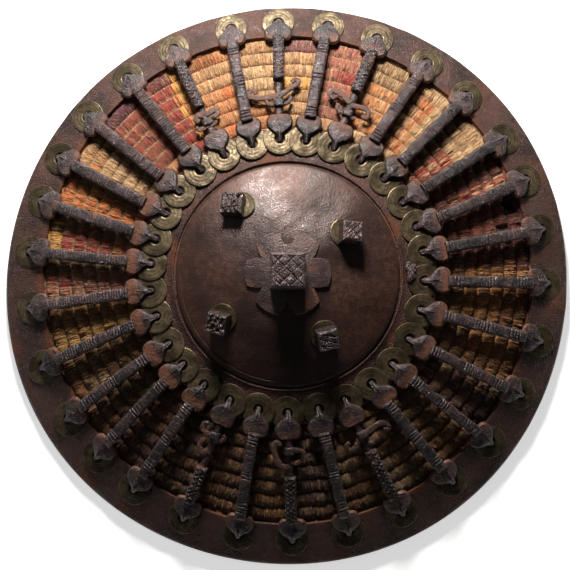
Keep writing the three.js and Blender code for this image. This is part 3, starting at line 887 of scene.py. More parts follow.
@dataclass
class CaneCoil:
    """Twelve rows of cane, each wound with dyed thread."""

    bowl: Bowl
    finishes: Finishes
    rows: int = 12
    outer_ridge: float = 196.0
    pitch: float = 10.0
    half_width: float = 5.75
    thickness: float = 9.2
    hidden_outside: int = 2
    first_hidden_inside: int = 10
    fine_steps: int = 1800
    coarse_steps: int = 480
    creep_depth: float = 0.35
    fray_share: float = 0.05
    # Painted shade towards the foot: where it starts, how far it reaches and how deep it gets.
    foot_shade_from: float = 70.0
    foot_shade_reach: float = 190.0
    foot_shade_share: float = 0.58
    seed: int = 11

    def build(self) -> None:
        """Builds every row."""
        lumps, creep = Wander(21, 7.0), Wander(22, 60.0)
        for row in range(self.rows):
            hidden = row < self.hidden_outside or row >= self.first_hidden_inside
            self._row(row, self.coarse_steps if hidden else self.fine_steps, lumps, creep)

    def _row(self, row: int, steps: int, lumps: Wander, creep: Wander) -> None:
        """Builds one row.

        Args:
            row: Its number from the outside.
            steps: Sections round the coil.
            lumps: Unevenness of the winding.
            creep: Unevenness of the cane's course.
        """
        draw = np.random.default_rng(self.seed + row)
        ridge = self.outer_ridge - row * self.pitch
        clock = np.arange(steps) * 360 / steps
        face = np.radians([-8, 14, 36, 56, 74, 90, 106, 124, 144, 166, 188])
        back = np.radians([215, 250, 290, 325])
        turn = np.concatenate([face, back])
        bay, part = self._bays(ridge, clock)
        seen_row = row - self.hidden_outside + 1
        pillow = np.sin(np.pi * np.clip(part, 0.02, 0.98)) ** 0.5
        flat = polar(np.full(steps, ridge), clock)
        spots = np.concatenate([flat, np.full((steps, 1), 40.0 * row)], 1)
        course = np.append(polar(1.0, clock) * self.outer_ridge, np.zeros((steps, 1)), 1)
        ridge_line = ridge + self.creep_depth * creep(course)
        bulge = 1.0 + 0.1 * (pillow - 0.6) + 0.06 * lumps(spots)
        wave = np.sin(2 * np.pi * np.arange(steps) * 0.46 + draw.uniform(0, 6.3))
        thread = 0.16 * wave + 0.14 * draw.normal(size=steps)
        sink = np.zeros(steps)
        for gap in GAPS:
            if gap.row == seen_row:
                away = np.abs((clock - gap.clock + 180) % 360 - 180)
                sink += gap.depth * ease(1.4 - 1.4 * away / gap.half_width)
        half = self.thickness / 2
        cos, sin = np.cos(turn), np.sin(turn)
        upper = np.clip(sin, 0, 1)
        across = (self.half_width + 0.15 * (bulge - 1)[:, None]) * np.sign(cos) * np.abs(cos) ** 0.85
        rise = half * np.sign(sin) * np.abs(sin) ** 0.8
        height = half + rise[None] * bulge[:, None] + upper[None] * (thread - sink)[:, None]
        height += upper * 0.22 * draw.normal(size=(steps, len(turn)))
        height = np.clip(height, 0.0, self.thickness + 1.2)
        tint, dirt_and_shade = self._tints(seen_row, bay, part, cos, sin, spots, draw)
        frayed = draw.uniform(size=height.shape) < self.fray_share * (sin > 0.2)
        height = np.clip(height + frayed * draw.uniform(0.3, 1.0, height.shape), 0.0, self.thickness + 1.5)
        tint = np.where(frayed[..., None], 0.55 * tint + 0.45 * np.array(Dye.CREAM.value), tint)
        # Painted shade in the worn gaps, where the cane sinks.
        dirt_and_shade = np.clip(dirt_and_shade + (sink / 6)[:, None] * upper, 0, 1) * ~frayed
        plan = polar(ridge_line[:, None] + across, clock[:, None])
        node = ["cane_body"] if row == 0 else []
        # The cane's rust attribute carries only its painted shade.
        skin = Skin().solid(self.bowl.lay(plan, height), ring=True, rust=dirt_and_shade, tint=tint)
        skin.build(f"cane_row_{row + 1:02d}", self.finishes.thread, "wrapped_cane", node, crease=75)

    @staticmethod
    def _bays(radius: float, clock: np.ndarray) -> tuple[np.ndarray, np.ndarray]:
        """Which bay between two bars each clock angle is in.

        Args:
            radius: Plan radius.
            clock: Clock angles.

        Returns:
            The bays' numbers, and the places across them from 0 to 1.
        """
        starts = np.array([spoke.clock_at(radius) for spoke in SPOKES])
        first = starts[0]
        offset = (clock - first) % 360
        edges = np.concatenate([starts - first, [360.0]])
        bay = np.searchsorted(edges, offset, side="right") - 1
        bay = np.clip(bay, 0, len(SPOKES) - 1)
        return bay, (offset - edges[bay]) / (edges[bay + 1] - edges[bay])

    def _tints(
        self,
        seen_row: int,
        bay: np.ndarray,
        part: np.ndarray,
        cos: np.ndarray,
        sin: np.ndarray,
        spots: np.ndarray,
        draw: np.random.Generator,
    ) -> tuple[np.ndarray, np.ndarray]:
        """Colours of one row's points.

        Args:
            seen_row: The row's number from the rim ring's edge.
            bay: Bay of each section.
            part: Place of each section across its bay.
            cos: Cosine of each point's turn round the section.
            sin: Sine of the same.
            spots: Places of the sections.
            draw: Random draw of this row.

        Returns:
            The colours, and how much painted shade each point gets.
        """
        steps = len(bay)
        shape = (steps, len(cos))
        base = np.tile(np.array(Dye.TAN.value), (*shape, 1))
        seam = np.tile(np.array(Dye.BROWN.value), (*shape, 1))
        ragged = part[:, None] + 0.05 * draw.normal(size=(steps, 1))
        ragged = ragged + 0.05 * Wander(31 + seen_row, 5.0)(spots)[:, None]
        seam_noise = draw.uniform(size=shape)
        for winding in WINDINGS:
            if not winding.rows[0] <= seen_row <= winding.rows[1]:
                continue
            low, high = winding.part
            low, high = (low if low > 0 else -1.0), (high if high < 1 else 2.0)
            here = (bay == winding.bay)[:, None] & (ragged >= low) & (ragged <= high)
            here = np.broadcast_to(here, shape)
            base[here] = winding.dye.value
            seam[here] = winding.seam.value if winding.seam else winding.dye.value
            if winding.flecks:
                threads = draw.uniform(size=steps) < winding.fleck_share
                patch = draw.uniform(size=shape) < 0.75
                base[here & threads[:, None] & patch] = winding.flecks.value
        at_seam = ease((np.abs(cos) - 0.55) / 0.3)[None] * (seam_noise > 0.25)
        base = base * (1 - at_seam[..., None]) + seam * at_seam[..., None]
        fade = 0.9 + 0.15 * draw.normal(size=(steps, 1, 1)) + 0.12 * draw.normal(size=(*shape, 1))
        # Painted shade: the thread darkens towards the foot of the buckler, away from the lamp.
        foot_shaded = ease((self.foot_shade_from - spots[:, 1]) / self.foot_shade_reach)
        fade = fade * (1 - self.foot_shade_share * foot_shaded)[:, None, None]
        base = np.clip(base * np.clip(fade, 0.2, 1.5), 0.0, 1.0)
        # Painted shade where a row meets its neighbours, and over the back of the cane.
        dirt_and_shade = 0.85 * ease((np.abs(cos) - 0.78) / 0.2)[None] * draw.uniform(0.55, 1.0, shape)
        dirt_and_shade = np.where(sin[None] < -0.2, 0.35, dirt_and_shade)
        return base, dirt_and_shade


class Chisel(Enum):
    """How the top of a bar was cut."""

    BANDED = "groups of cuts at both ends and the middle"
    DENSE = "fine cuts all along"
    CROSSED = "slanting cuts that cross"


@dataclass(frozen=True)
class Arm:
    """A scroll that branches off a bar: points as (radius, across), and its half widths."""

    line: tuple[tuple[float, float], ...]
    root: float
    tip: float


@dataclass(frozen=True)
class Ornament:
    """The low inner part of an ornamental bar, up to where the bar rises, and its arms."""

    raised_from: float
    arms: tuple[Arm, ...]


def scroll(root: float, side: int, *course: tuple[float, float], size: float = 2.1) -> Arm:
    """An arm that leaves the stem at a plan radius.

    Args:
        root: Plan radius where it leaves the stem.
        side: -1 to the anticlockwise side, 1 to the clockwise side.
        *course: Its further points as (radius, distance from the stem's middle line).
        size: Half its width, midway.

    Returns:
        The arm.
    """
    line = ((root, side * 0.5), *((radius, side * out) for radius, out in course))
    return Arm(line, 1.15 * size, 0.85 * size)


ORNAMENTS = {
    0: Ornament(144.5, (
        scroll(
            132.5, -1, (131.5, 6), (131, 11), (131.5, 17), (133.5, 21.5), (137, 21), (137, 17.5), (134.5, 17)
        ),
        scroll(132, 1, (135, 5), (138.5, 10), (141.6, 14.5), (144.5, 12.5), (142.5, 9.5), size=1.9),
        scroll(126.5, -1, (125.5, 4), (127, 8), (130, 9.5), size=1.6),
        scroll(127, 1, (126, 4.5), (128, 8), (131.5, 8.5), size=1.6),
    )),
    2: Ornament(144, (
        scroll(135, -1, (137, 5), (139, 10), (140, 15), (137, 17), (134.5, 14.5), (136, 12)),
        scroll(133, 1, (134, 5), (134.5, 10), (134, 13.5), (131, 15), (128, 13.5), (129, 10.5), size=1.9),
        scroll(127, -1, (126, 4.5), (127.5, 8), (131, 9), size=1.6),
        scroll(126, 1, (124.5, 4), (125, 7), size=1.6),
    )),
    28: Ornament(139, (
        scroll(132, 1, (132.5, 5), (132, 9), (129, 9.5), (128, 6.5), (129, 4.5), size=1.8),
        scroll(133, -1, (134.5, 4.5), (132, 7), (129.5, 5), size=2.2),
        scroll(124, -1, (123.5, 4), (124.5, 8), (127, 9), size=1.6),
        scroll(124, 1, (123, 3), (124, 6.5), size=1.5),
    )),
    13: Ornament(139.5, (
        scroll(127, -1, (126.5, 6), (125, 12), (125.5, 17), (128, 20), (131, 18.5), (130, 15.5)),
        scroll(
            127.5, 1, (129.5, 4), (132, 6.5), (134, 10.5), (132, 13.5), (129, 13), (128.5, 10.5), size=1.9
        ),
        scroll(134, -1, (135.5, 4.5), (133.5, 7.5), size=1.6),
    )),
    15: Ornament(145, (
        scroll(
            138, 1, (138.5, 4), (135.5, 8), (131.5, 9.5), (126, 11), (121.5, 10.5), (120.5, 7.5), (123, 6.5)
        ),
        scroll(127, -1, (126, 5), (127.5, 10), (130.5, 10.5), size=1.8),
        scroll(134, -1, (135.5, 4.5), (134, 7.5), size=1.6),
    )),
    17: Ornament(151, (
        scroll(139, 1, (141.5, 3.5), (139, 7.5), (134, 7.5), (131, 5), size=2.3),
        scroll(127.5, 1, (127.5, 6), (126, 10), (122.5, 11), (120.8, 8.5), (122.5, 6.5), size=1.8),
        scroll(130, -1, (129, 4.5), (126, 7), (124.5, 5), size=1.7),
    )),
}


@dataclass
class ForgedBar:
    """One of the thirty bars, with its two spade heads and their nibs."""

    bowl: Bowl
    finishes: Finishes
    spoke: Spoke
    half_width: float = 4.0
    stem_half: float = 2.6
    step_half: float = 3.6
    lap: float = 1.2
    inner_end: float = 117.0
    outer_end: float = 177.5
    head_back: float = 13.4
    head_face: float = 16.4
    bar_face: float = 19.6
    bevel: float = 1.1
    step: tuple[float, float] = (124.0, 129.0)
    nib_foot: float = 11.9
    draw: np.random.Generator = field(init=False)
    uneven: Wander = field(init=False)

    INNER_HEAD: ClassVar[tuple[tuple[float, float], ...]] = (
        (-1.6, 4.0), (-1.0, 6.6), (1.2, 8.8), (4.4, 9.7), (7.6, 9.2), (10.4, 7.0), (12.6, 4.3), (14.4, 2.7),
        (17.0, 2.2), (19.4, 1.9), (20.2, 0.7),
    )
    OUTER_HEAD: ClassVar[tuple[tuple[float, float], ...]] = (
        (-1.4, 4.2), (-0.8, 7.6), (1.2, 9.7), (4.6, 10.4), (8.2, 9.4), (11.0, 6.7), (12.8, 4.1), (14.2, 2.7),
        (15.8, 2.2), (17.4, 1.8), (18.2, 0.6),
    )

    def __post_init__(self) -> None:
        """Starts the bar's own draw and unevenness."""
        self.draw = np.random.default_rng(400 + self.spoke.index)
        self.uneven = Wander(500 + self.spoke.index, 9.0)

    def build(self) -> None:
        """Builds the bar."""
        index = self.spoke.index
        start, end = self.inner_end - self.lap, self.outer_end + self.lap
        skin = Skin()
        ornament = ORNAMENTS.get(index)
        if ornament:
            raised = ornament.raised_from
            self._shaft(skin, raised, end, self.half_width, self.bar_face, Chisel.CROSSED)
            self._shaft(skin, start, raised + 1.5, self.stem_half, self.head_face - 1.0, None)
            self._shaft(skin, *self.step, self.step_half, self.head_face + 1.6, None)
            for arm in ornament.arms:
                self._arm(skin, arm)
        else:
            chisel = Chisel.DENSE if 21 <= index <= 27 else Chisel.BANDED
            self._shaft(skin, start, end, self.half_width, self.bar_face, chisel)
        self._head(skin, -1)
        self._head(skin, 1)
        number = f"{index + 1:02d}"
        skin.build(f"forged_bar_{number}", self.finishes.forged, "forged_iron", [f"bar_{number}"], crease=32)

    def _cuts(
        self, chisel: Chisel | None, start: float, end: float
    ) -> list[tuple[float, float, float, float]]:
        """Chisel cuts as (radius, slant, depth, half width).

        Args:
            chisel: The way of cutting, if any.
            start: Inner end of the shaft.
            end: Outer end.

        Returns:
            The cuts.
        """
        draw, cuts = self.draw, []
        if chisel is Chisel.BANDED:
            for centre in (start + 6, (start + end) / 2, end - 8):
                count = draw.integers(3, 5)
                for i in range(count):
                    place = centre + 2.3 * (i - count / 2) + draw.normal() * 0.2
                    cuts.append((place, draw.normal() * 0.06, 0.75, 0.75))
            for spot in np.arange(start + 3, end - 3, 3.1):
                cuts.append((spot + draw.normal() * 0.8, draw.normal() * 0.15, 0.28, 0.6))
        elif chisel is Chisel.DENSE:
            for spot in np.arange(start + 2, end - 3, 2.0):
                place, slant = spot + draw.normal() * 0.25, draw.normal() * 0.08
                cuts.append((place, slant, draw.uniform(0.35, 0.75), 0.65))
        elif chisel is Chisel.CROSSED:
            for spot in np.arange(start + 1.5, end - 1, 3.3):
                for slant in (0.75, -0.75):
                    cuts.append((spot + draw.normal() * 0.3, slant + draw.normal() * 0.12, 1.0, 0.9))
        return cuts

    def _shaft(
        self, skin: Skin, start: float, end: float, half: float, face: float, chisel: Chisel | None
    ) -> None:
        """Adds a straight length of the bar.

        Args:
            skin: Where it goes.
            start: Plan radius of its inner end.
            end: Plan radius of its outer end.
            half: Half its width.
            face: Height of its top.
            chisel: How its top is cut.
        """
        steps = int((end - start) / 0.34)
        along = np.linspace(start, end, steps)
        back = self.head_back + 0.4
        bevel = self.bevel
        columns = np.array([
            (half, back), (half, face - bevel), (half - bevel, face - 0.12), (half * 0.42, face),
            (0, face + 0.08), (-half * 0.42, face), (-(half - bevel), face - 0.12),
            (-half, face - bevel), (-half, back),
        ])
        on_top = np.array([0, 0.55, 1, 1, 1, 1, 1, 0.55, 0])
        spots = np.stack([along, np.full(steps, 3.0 * self.spoke.index), np.zeros(steps)], 1)
        swell = 1 + 0.035 * self.uneven(spots) + 0.02 * self.draw.normal(size=steps)
        across = columns[:, 0][None] * swell[:, None]
        height = np.tile(columns[:, 1], (steps, 1))
        depth = np.zeros_like(height)
        for spot, slant, deep, wide in self._cuts(chisel, start, end):
            away = np.abs(along[:, None] - spot - slant * across)
            depth = np.maximum(depth, deep * np.clip(1 - away / wide, 0, 1))
        face_spots = [np.broadcast_to(along[:, None], across.shape), across * 2, across * 0]
        relief = 0.09 * self.uneven(np.stack(face_spots, -1))
        height += on_top * (relief - depth + 0.05 * self.draw.normal(size=height.shape))
        soften = ease(np.minimum(along - start, end - along) / 0.9)[:, None]
        height -= on_top * 0.5 * (1 - soften)
        plan = self.spoke.plan(along[:, None] * np.ones_like(across), across)
        rust = np.clip(0.15 + 0.12 * self.uneven(spots * 1.7), 0, 1)[:, None] + 0.25 * (1 - on_top)[None]
        skin.solid(self.bowl.lay(plan, height), rust=np.broadcast_to(rust, height.shape))

    def _head(self, skin: Skin, end: int) -> None:
        """Adds the spade head at one end.

        Args:
            skin: Where it goes.
            end: -1 for the inner end, 1 for the outer one.
        """
        side = spline(self.INNER_HEAD if end < 0 else self.OUTER_HEAD, 4)
        sway = 1 + 0.05 * self.draw.normal()
        left = side * np.array([1.0, -1.0 / sway])
        outline = np.vstack([side * np.array([1.0, sway]), left[::-1]])
        before, after = np.roll(outline, 1, 0), np.roll(outline, -1, 0)
        tangent = after - before
        tangent /= np.linalg.norm(tangent, axis=1)[:, None]
        inward = np.stack([-tangent[:, 1], tangent[:, 0]], 1)
        tip = side[-1, 0]
        spine = np.stack([np.clip(outline[:, 0], 3.0, tip - 3.0), 0 * outline[:, 1]], 1)
        if ((spine - outline) * inward).sum() < 0:
            inward = -inward
        reach_in = np.linalg.norm(spine - outline, axis=1)[:, None]
        thick = self.head_face - self.head_back
        levels = (
            (0.55, 0.0), (0.05, 0.0), (0.0, 0.12 * thick), (0.0, 0.42 * thick), (0.05, 0.5 * thick),
            (0.32, 0.95 * thick), (0.39, 1.0 * thick), (0.62, 1.0 * thick), (0.9, 1.04 * thick),
        )
        rings, heights = [], []
        for share, rise in levels:
            inset = np.minimum(share * 3.6, share * reach_in) if share < 0.4 else share * reach_in
            rings.append(outline + inset * (spine - outline) / np.maximum(reach_in, 1e-6))
            heights.append(np.full(len(outline), rise))
        plan_local = np.array(rings)
        height = self.head_back + np.array(heights)
        reach = plan_local[..., 0]
        height -= (3.0 if end < 0 else 2.6) * ease((reach - 0.63 * tip) / (0.36 * tip))
        keel = ease((reach - 0.25 * tip) / (0.25 * tip)) * (1 - ease((reach - 0.55 * tip) / (0.25 * tip)))
        on_ridge = (height > self.head_back + 2.4) * (1 - np.minimum(np.abs(plan_local[..., 1]) / 5, 1))
        height += 0.9 * keel * on_ridge
        spots = np.concatenate([plan_local * 1.5, height[..., None]], -1)
        height += 0.12 * self.uneven(spots) * (height > self.head_back + 1)
        height = np.maximum(height, self.nib_foot)
        root = self.outer_end if end > 0 else self.inner_end
        plan = self.spoke.plan(root + end * reach, plan_local[..., 1])
        old_rust = self._head_rust(end)
        under = (np.array([rise for _, rise in levels]) < 0.5 * thick)[:, None]
        rust = np.clip(old_rust * (1.25 - reach / 9) + 0.1, 0, 1) + 0.35 * under
        skin.solid(self.bowl.lay(plan, height), rust=rust)

    def _head_rust(self, end: int) -> float:
        """How rusty a head is next to the shaft.

        Args:
            end: -1 for the inner end, 1 for the outer one.

        Returns:
            The rust, from 0 to 1.
        """
        index = self.spoke.index
        if end < 0:
            return 1.0 if 18 <= index <= 25 else (0.65 if 7 <= index <= 12 else 0.35)
        return 0.35

    def _arm(self, skin: Skin, arm: Arm) -> None:
        """Adds a scroll.

        Args:
            skin: Where it goes.
            arm: Its course and widths.
        """
        line = spline(arm.line, 8)
        count = len(line)
        tangent = np.gradient(line, axis=0)
        tangent /= np.linalg.norm(tangent, axis=1)[:, None]
        normal = np.stack([-tangent[:, 1], tangent[:, 0]], 1)
        half = np.linspace(arm.root, arm.tip, count) * (1 + 0.06 * self.draw.normal(size=count))
        turn = np.radians(np.arange(10) * 36)
        side = np.sign(np.cos(turn)) * np.abs(np.cos(turn)) ** 0.7
        up = np.sign(np.sin(turn)) * np.abs(np.sin(turn)) ** 0.7
        spread = line[:, None] + normal[:, None] * (half[:, None] * side)[..., None]
        middle = self.head_back + 1.5
        rise = 1.35 * np.linspace(1, 0.75, count)
        height = middle + rise[:, None] * up + 0.1 * self.draw.normal(size=(count, len(turn)))
        plan = self.spoke.plan(spread[..., 0], spread[..., 1])
        skin.solid(self.bowl.lay(plan, height), rust=0.48)


@dataclass
class Washer:
    """A turned brass disc with a hole."""

    radius: float = 12.0
    hole: float = 3.6
    plate: float = 1.1
    grooves: tuple[float, ...] = (0.9, 0.72, 0.5)
    groove_depth: float = 0.15
    around: int = 52

    def sections(self, seed: int) -> tuple[np.ndarray, np.ndarray]:
        """The disc, flat on z = 0 round the origin.

        Args:
            seed: Start of its unevenness.

        Returns:
            Sections round the disc, and the grime and painted shade of each point.
        """
        shares = np.linspace(0.06, 0.94, 15)
        width = self.radius - self.hole
        face = np.array([(self.hole + share * width, self.plate) for share in shares])
        dirt_and_shade = np.zeros(len(face))
        for groove in self.grooves:
            near = np.clip(1 - np.abs(face[:, 0] / self.radius - groove) / 0.035, 0, 1)
            face[:, 1] -= self.groove_depth * near
            dirt_and_shade += 0.55 * near
        profile = np.vstack([
            [(self.hole, self.plate * 0.15), (self.hole, self.plate * 0.75)], face,
            [(self.radius, self.plate * 0.72), (self.radius, self.plate * 0.15)],
            [(self.radius - 0.3, 0), (self.hole + 0.3, 0)],
        ])
        # The hole's wall, the foot of the edge and the underside get painted shade; the turned rings get
        # grime.
        dirt_and_shade = np.concatenate([[0.6, 0.4], dirt_and_shade, [0.1, 0.4, 0.8, 0.8]])
        turn = 2 * np.pi * np.arange(self.around) / self.around
        draw = np.random.default_rng(seed)
        out = 1 + 0.012 * np.sin(2 * turn + draw.uniform(0, 6)) + 0.01 * np.sin(3 * turn + draw.uniform(0, 6))
        reach = self.hole + (profile[:, 0][None] - self.hole) * out[:, None]
        points = np.stack([
            reach * np.cos(turn)[:, None], reach * np.sin(turn)[:, None],
            np.broadcast_to(profile[:, 1], reach.shape),
        ], -1)
        points[..., 2] += 0.1 * Wander(seed, 14.0)(points) * (points[..., 2] > 0.1)
        return points, np.broadcast_to(dirt_and_shade, reach.shape)


@dataclass
class WasherRows:
    """The brass discs under the heads: scales round the boss, and a loose circle on the rim."""

    bowl: Bowl
    finishes: Finishes
    inner_circle: float = 100.0
    outer_circle: float = 191.8
    inner: Washer = field(default_factory=lambda: Washer(12.2, 3.7))
    outer: Washer = field(default_factory=lambda: Washer(12.1, 4.4, 0.9))
    bed: float = 11.6
    tilt: float = 0.062

    def build(self) -> None:
        """Builds both circles."""
        for spoke in SPOKES:
            number = spoke.index + 1
            node = ["inner_washers"] if number == 1 else []
            self._disc(f"inner_washer_{number:02d}", spoke, self.inner, self.inner_circle, self.tilt, node)
            self._disc(f"outer_washer_{number:02d}", spoke, self.outer, self.outer_circle, 0.0, [])

    def _disc(
        self, name: str, spoke: Spoke, washer: Washer, circle: float, tilt: float, nodes: Sequence[str]
    ) -> None:
        """Builds one disc.

        Args:
            name: Its name.
            spoke: The bar that it belongs to.
            washer: Its sizes.
            circle: Plan radius of its middle.
            tilt: Rise to its anticlockwise side, per millimetre.
            nodes: CAD nodes that it stands for.
        """
        seed = 700 + spoke.index + int(circle)
        points, dirt_and_shade = washer.sections(seed)
        draw = np.random.default_rng(seed)
        shift = draw.normal(size=2) * 0.35
        plan = spoke.plan(circle + points[..., 1] + shift[0], points[..., 0] + shift[1])
        lean = 0.01 * draw.normal()
        height = self.bed + points[..., 2] + tilt * (washer.radius - points[..., 0]) + lean * points[..., 1]
        height = np.maximum(height, self.bed - 0.05)
        Skin().solid(self.bowl.lay(plan, height), ring=True, rust=dirt_and_shade).build(
            name, self.finishes.brass, "brass", nodes, crease=50
        )


@dataclass
class Plates:
    """The rim ring, the inner ring and the boss."""

    bowl: Bowl
    dome: Dome
    finishes: Finishes
    middle: tuple[float, float]
    rim_radius: float = 210.0
    rim_inner: float = 181.5
    waves: tuple[tuple[int, float, float], ...] = ((2, 1.5, 56.0), (3, 0.7, 30.0), (4, 0.8, 54.0))
    ring_face: float = 11.5
    inner_hole: float = 74.0
    inner_outer: float = 109.0
    collar: float = 83.0
    scored: float = 77.6
    score_steps: np.ndarray = field(default_factory=lambda: np.array([-0.45, 0.0, 0.45, 1.8]))
    score_clock: float = 228.0
    score_half: float = 46.0
    scrap_circle: float = 89.0
    scrap_clock: float = 88.0
    scrap_bed: float = 14.0
    around: int = 420

    GROUND: ClassVar[float] = 99.0

    def build(self) -> None:
        """Builds the three plates, and the scrap that is stuck between two of them."""
        self._rim()
        self._inner_ring()
        self._boss()
        self._scrap()

    def _scrap(self) -> None:
        """Builds the torn scrap of iron that lies on the inner ring beside the boss."""
        turn = np.arange(0, 360, 10.0)
        wave = np.radians(turn)
        radius = 5.2 + 2.2 * np.cos(2 * wave) + 0.7 * np.sin(3 * wave + 1) + 0.5 * np.sin(7 * wave)
        outline = polar(radius, turn + self.scrap_clock + 90)
        levels = np.array([
            (0.06, 0.0), (0.94, 0.0), (1.0, 0.3), (0.97, 1.1), (0.8, 1.6), (0.4, 1.8), (0.06, 1.7),
        ])
        plan = outline[None] * levels[:, :1, None] + polar(self.scrap_circle, self.scrap_clock)
        spots = np.concatenate([plan, np.zeros((*plan.shape[:2], 1))], -1)
        height = self.scrap_bed + levels[:, 1:] + 0.3 * Wander(69, 6.0)(spots) * (levels[:, 1:] > 1)
        Skin().solid(self.bowl.lay(plan, height), rust=0.3).build(
            "iron_scrap", self.finishes.forged, "iron_plate", crease=35
        )

    def _outline(self, clock: np.ndarray) -> np.ndarray:
        """The hand-cut outline.

        Args:
            clock: Clock angles.

        Returns:
            The outline's radius at each of them.
        """
        radius = np.full(clock.shape, self.rim_radius)
        for lobes, rise, at in self.waves:
            radius = radius + rise * np.cos(lobes * np.radians(clock - at))
        return radius

    def _rim(self) -> None:
        """Builds the rim ring, whose edge is turned down to the ground."""
        clock = np.arange(self.around) * 360 / self.around
        axis = np.array([self.bowl.axis_x, self.bowl.axis_y])
        ground = [self.GROUND] * 3
        face_shares = [0.0, 0.012, 0.05, 0.12, 0.2, 0.28, 0.36, 0.44, 0.52, 0.6, 0.68, 0.76, 0.84, 0.9, 0.945]
        lip_shares = [0.975, 0.993, 1.0, 1.0, 1.0, 1.0, 0.95, 0.91, 0.905, 0.905, 0.85, 0.4, 0.0]
        lip_depths = [0.25, 0.7, 1.4, 3.5, 7.0, *ground, 8.0, 2.6, 2.0, 2.0, 2.0]
        outer_share = np.array(face_shares + lip_shares)
        below = np.concatenate([[0.7], np.zeros(len(face_shares) - 1), lip_depths])
        inner = polar(np.full(clock.shape, self.rim_inner), clock)
        outer = polar(self._outline(clock), clock)
        outer += np.array(self.middle) - axis
        plan = inner[:, None] + (outer - inner)[:, None] * outer_share[None, :, None]
        height = np.broadcast_to(self.ring_face - below, plan.shape[:2]).copy()
        dent, ripple = Wander(61, 34.0), Wander(62, 11.0)
        spots = np.concatenate([plan, np.zeros((*plan.shape[:2], 1))], -1)
        on_face = (below < 1.5)[None]
        height += on_face * (0.22 * dent(spots) + 0.07 * ripple(spots))
        low = below == self.GROUND
        points = self.bowl.lay(plan, np.where(low, 0, height))
        upright = low | ((below > 3) & (outer_share > 0.9))
        points[:, upright, :2] = plan[:, upright] + axis
        points[:, low, 2] = 0.0
        points[..., 2] = np.maximum(points[..., 2], 0.0)
        edge = np.clip(1 - outer_share / 0.22, 0, 1)[None]
        rust = 0.35 * edge + 0.15 + 0.22 * Wander(63, 45.0)(spots)
        Skin().solid(points, ring=True, rust=np.clip(rust, 0, 1)).build(
            "rim_plate", self.finishes.plate, "iron_plate", ["rim_ring"], crease=50
        )

    def _inner_ring(self) -> None:
        """Builds the inner ring, with the low collar that the boss sits in."""
        clock = np.arange(self.around) * 360 / self.around
        radii = np.array([
            self.inner_hole, self.inner_hole + 0.5, 81.0, self.collar - 0.15, self.collar, self.collar + 0.6,
            84.5, 87.0, 90, 95, 100, 104, 107.5, 108.6, self.inner_outer,
            self.inner_outer, 108.0, 100, 90, 80, self.inner_hole,
        ])
        height = np.array([
            11.2, 11.5, 11.5, 11.5, 12.9, 13.1, 12.7, 11.75,
            11.5, 11.5, 11.5, 11.5, 11.5, 11.35, 11.0, 9.9, 9.5, 9.5, 9.5, 9.5, 9.5,
        ])
        plan = polar(radii[None] * np.ones((len(clock), 1)), clock[:, None])
        spots = np.concatenate([plan, np.zeros((*plan.shape[:2], 1))], -1)
        lift = 0.1 * Wander(64, 24.0)(spots) * (height > 11)
        rust = 0.12 + 0.25 * Wander(65, 30.0)(spots)
        Skin().solid(self.bowl.lay(plan, height + lift), ring=True, rust=np.clip(rust, 0, 1)).build(
            "inner_ring_plate", self.finishes.plate, "iron_plate", ["inner_ring"], crease=40
        )

    def _boss(self) -> None:
        """Builds the boss as a thin hammered dome."""
        dome = self.dome
        rings = np.concatenate([
            [0.4, 2.0], np.linspace(5, self.scored - 1.2, 32), self.scored + self.score_steps,
        ])
        edge = np.array([dome.radius - 1.0, dome.radius - 0.25, dome.radius])
        clock = np.arange(self.around // 2) * 720 / self.around
        radii = np.concatenate([rings, edge])
        lift = np.concatenate([np.zeros(len(rings)), [-0.15, -0.6, -1.4]])
        inner_radii = np.linspace(dome.radius - 2.8, 0.4, 14)
        radii = np.concatenate([radii, inner_radii])
        lift = np.concatenate([lift, np.full(len(inner_radii), -2.0)])
        plan = polar(radii[:, None] * np.ones((1, len(clock))), clock[None])
        spots = np.concatenate([plan, np.broadcast_to(lift[:, None, None], (*plan.shape[:2], 1))], -1)
        top = (np.arange(len(radii)) < len(rings))[:, None]
        dents = 0.3 * Wander(66, 42.0)(spots) + 0.06 * Wander(67, 12.0)(spots)
        fade = np.clip((dome.radius - radii) / 12, 0, 1)[:, None]
        scored = top & (np.abs(radii - self.scored) < 0.1)[:, None]
        score = 0.7 * scored * ease((self.score_half - np.abs(clock - self.score_clock)) / 8)[None]
        points = dome.lay(plan, lift[:, None] + dents * top * fade - score)
        rust = 0.25 + 0.2 * Wander(68, 50.0)(spots) + 0.4 * ease((radii - 62) / 20)[:, None]
        Skin().solid(points, rust=np.clip(rust, 0, 1)).build(
            "boss_dome", self.finishes.boss, "iron_plate", ["boss"], crease=40
        )


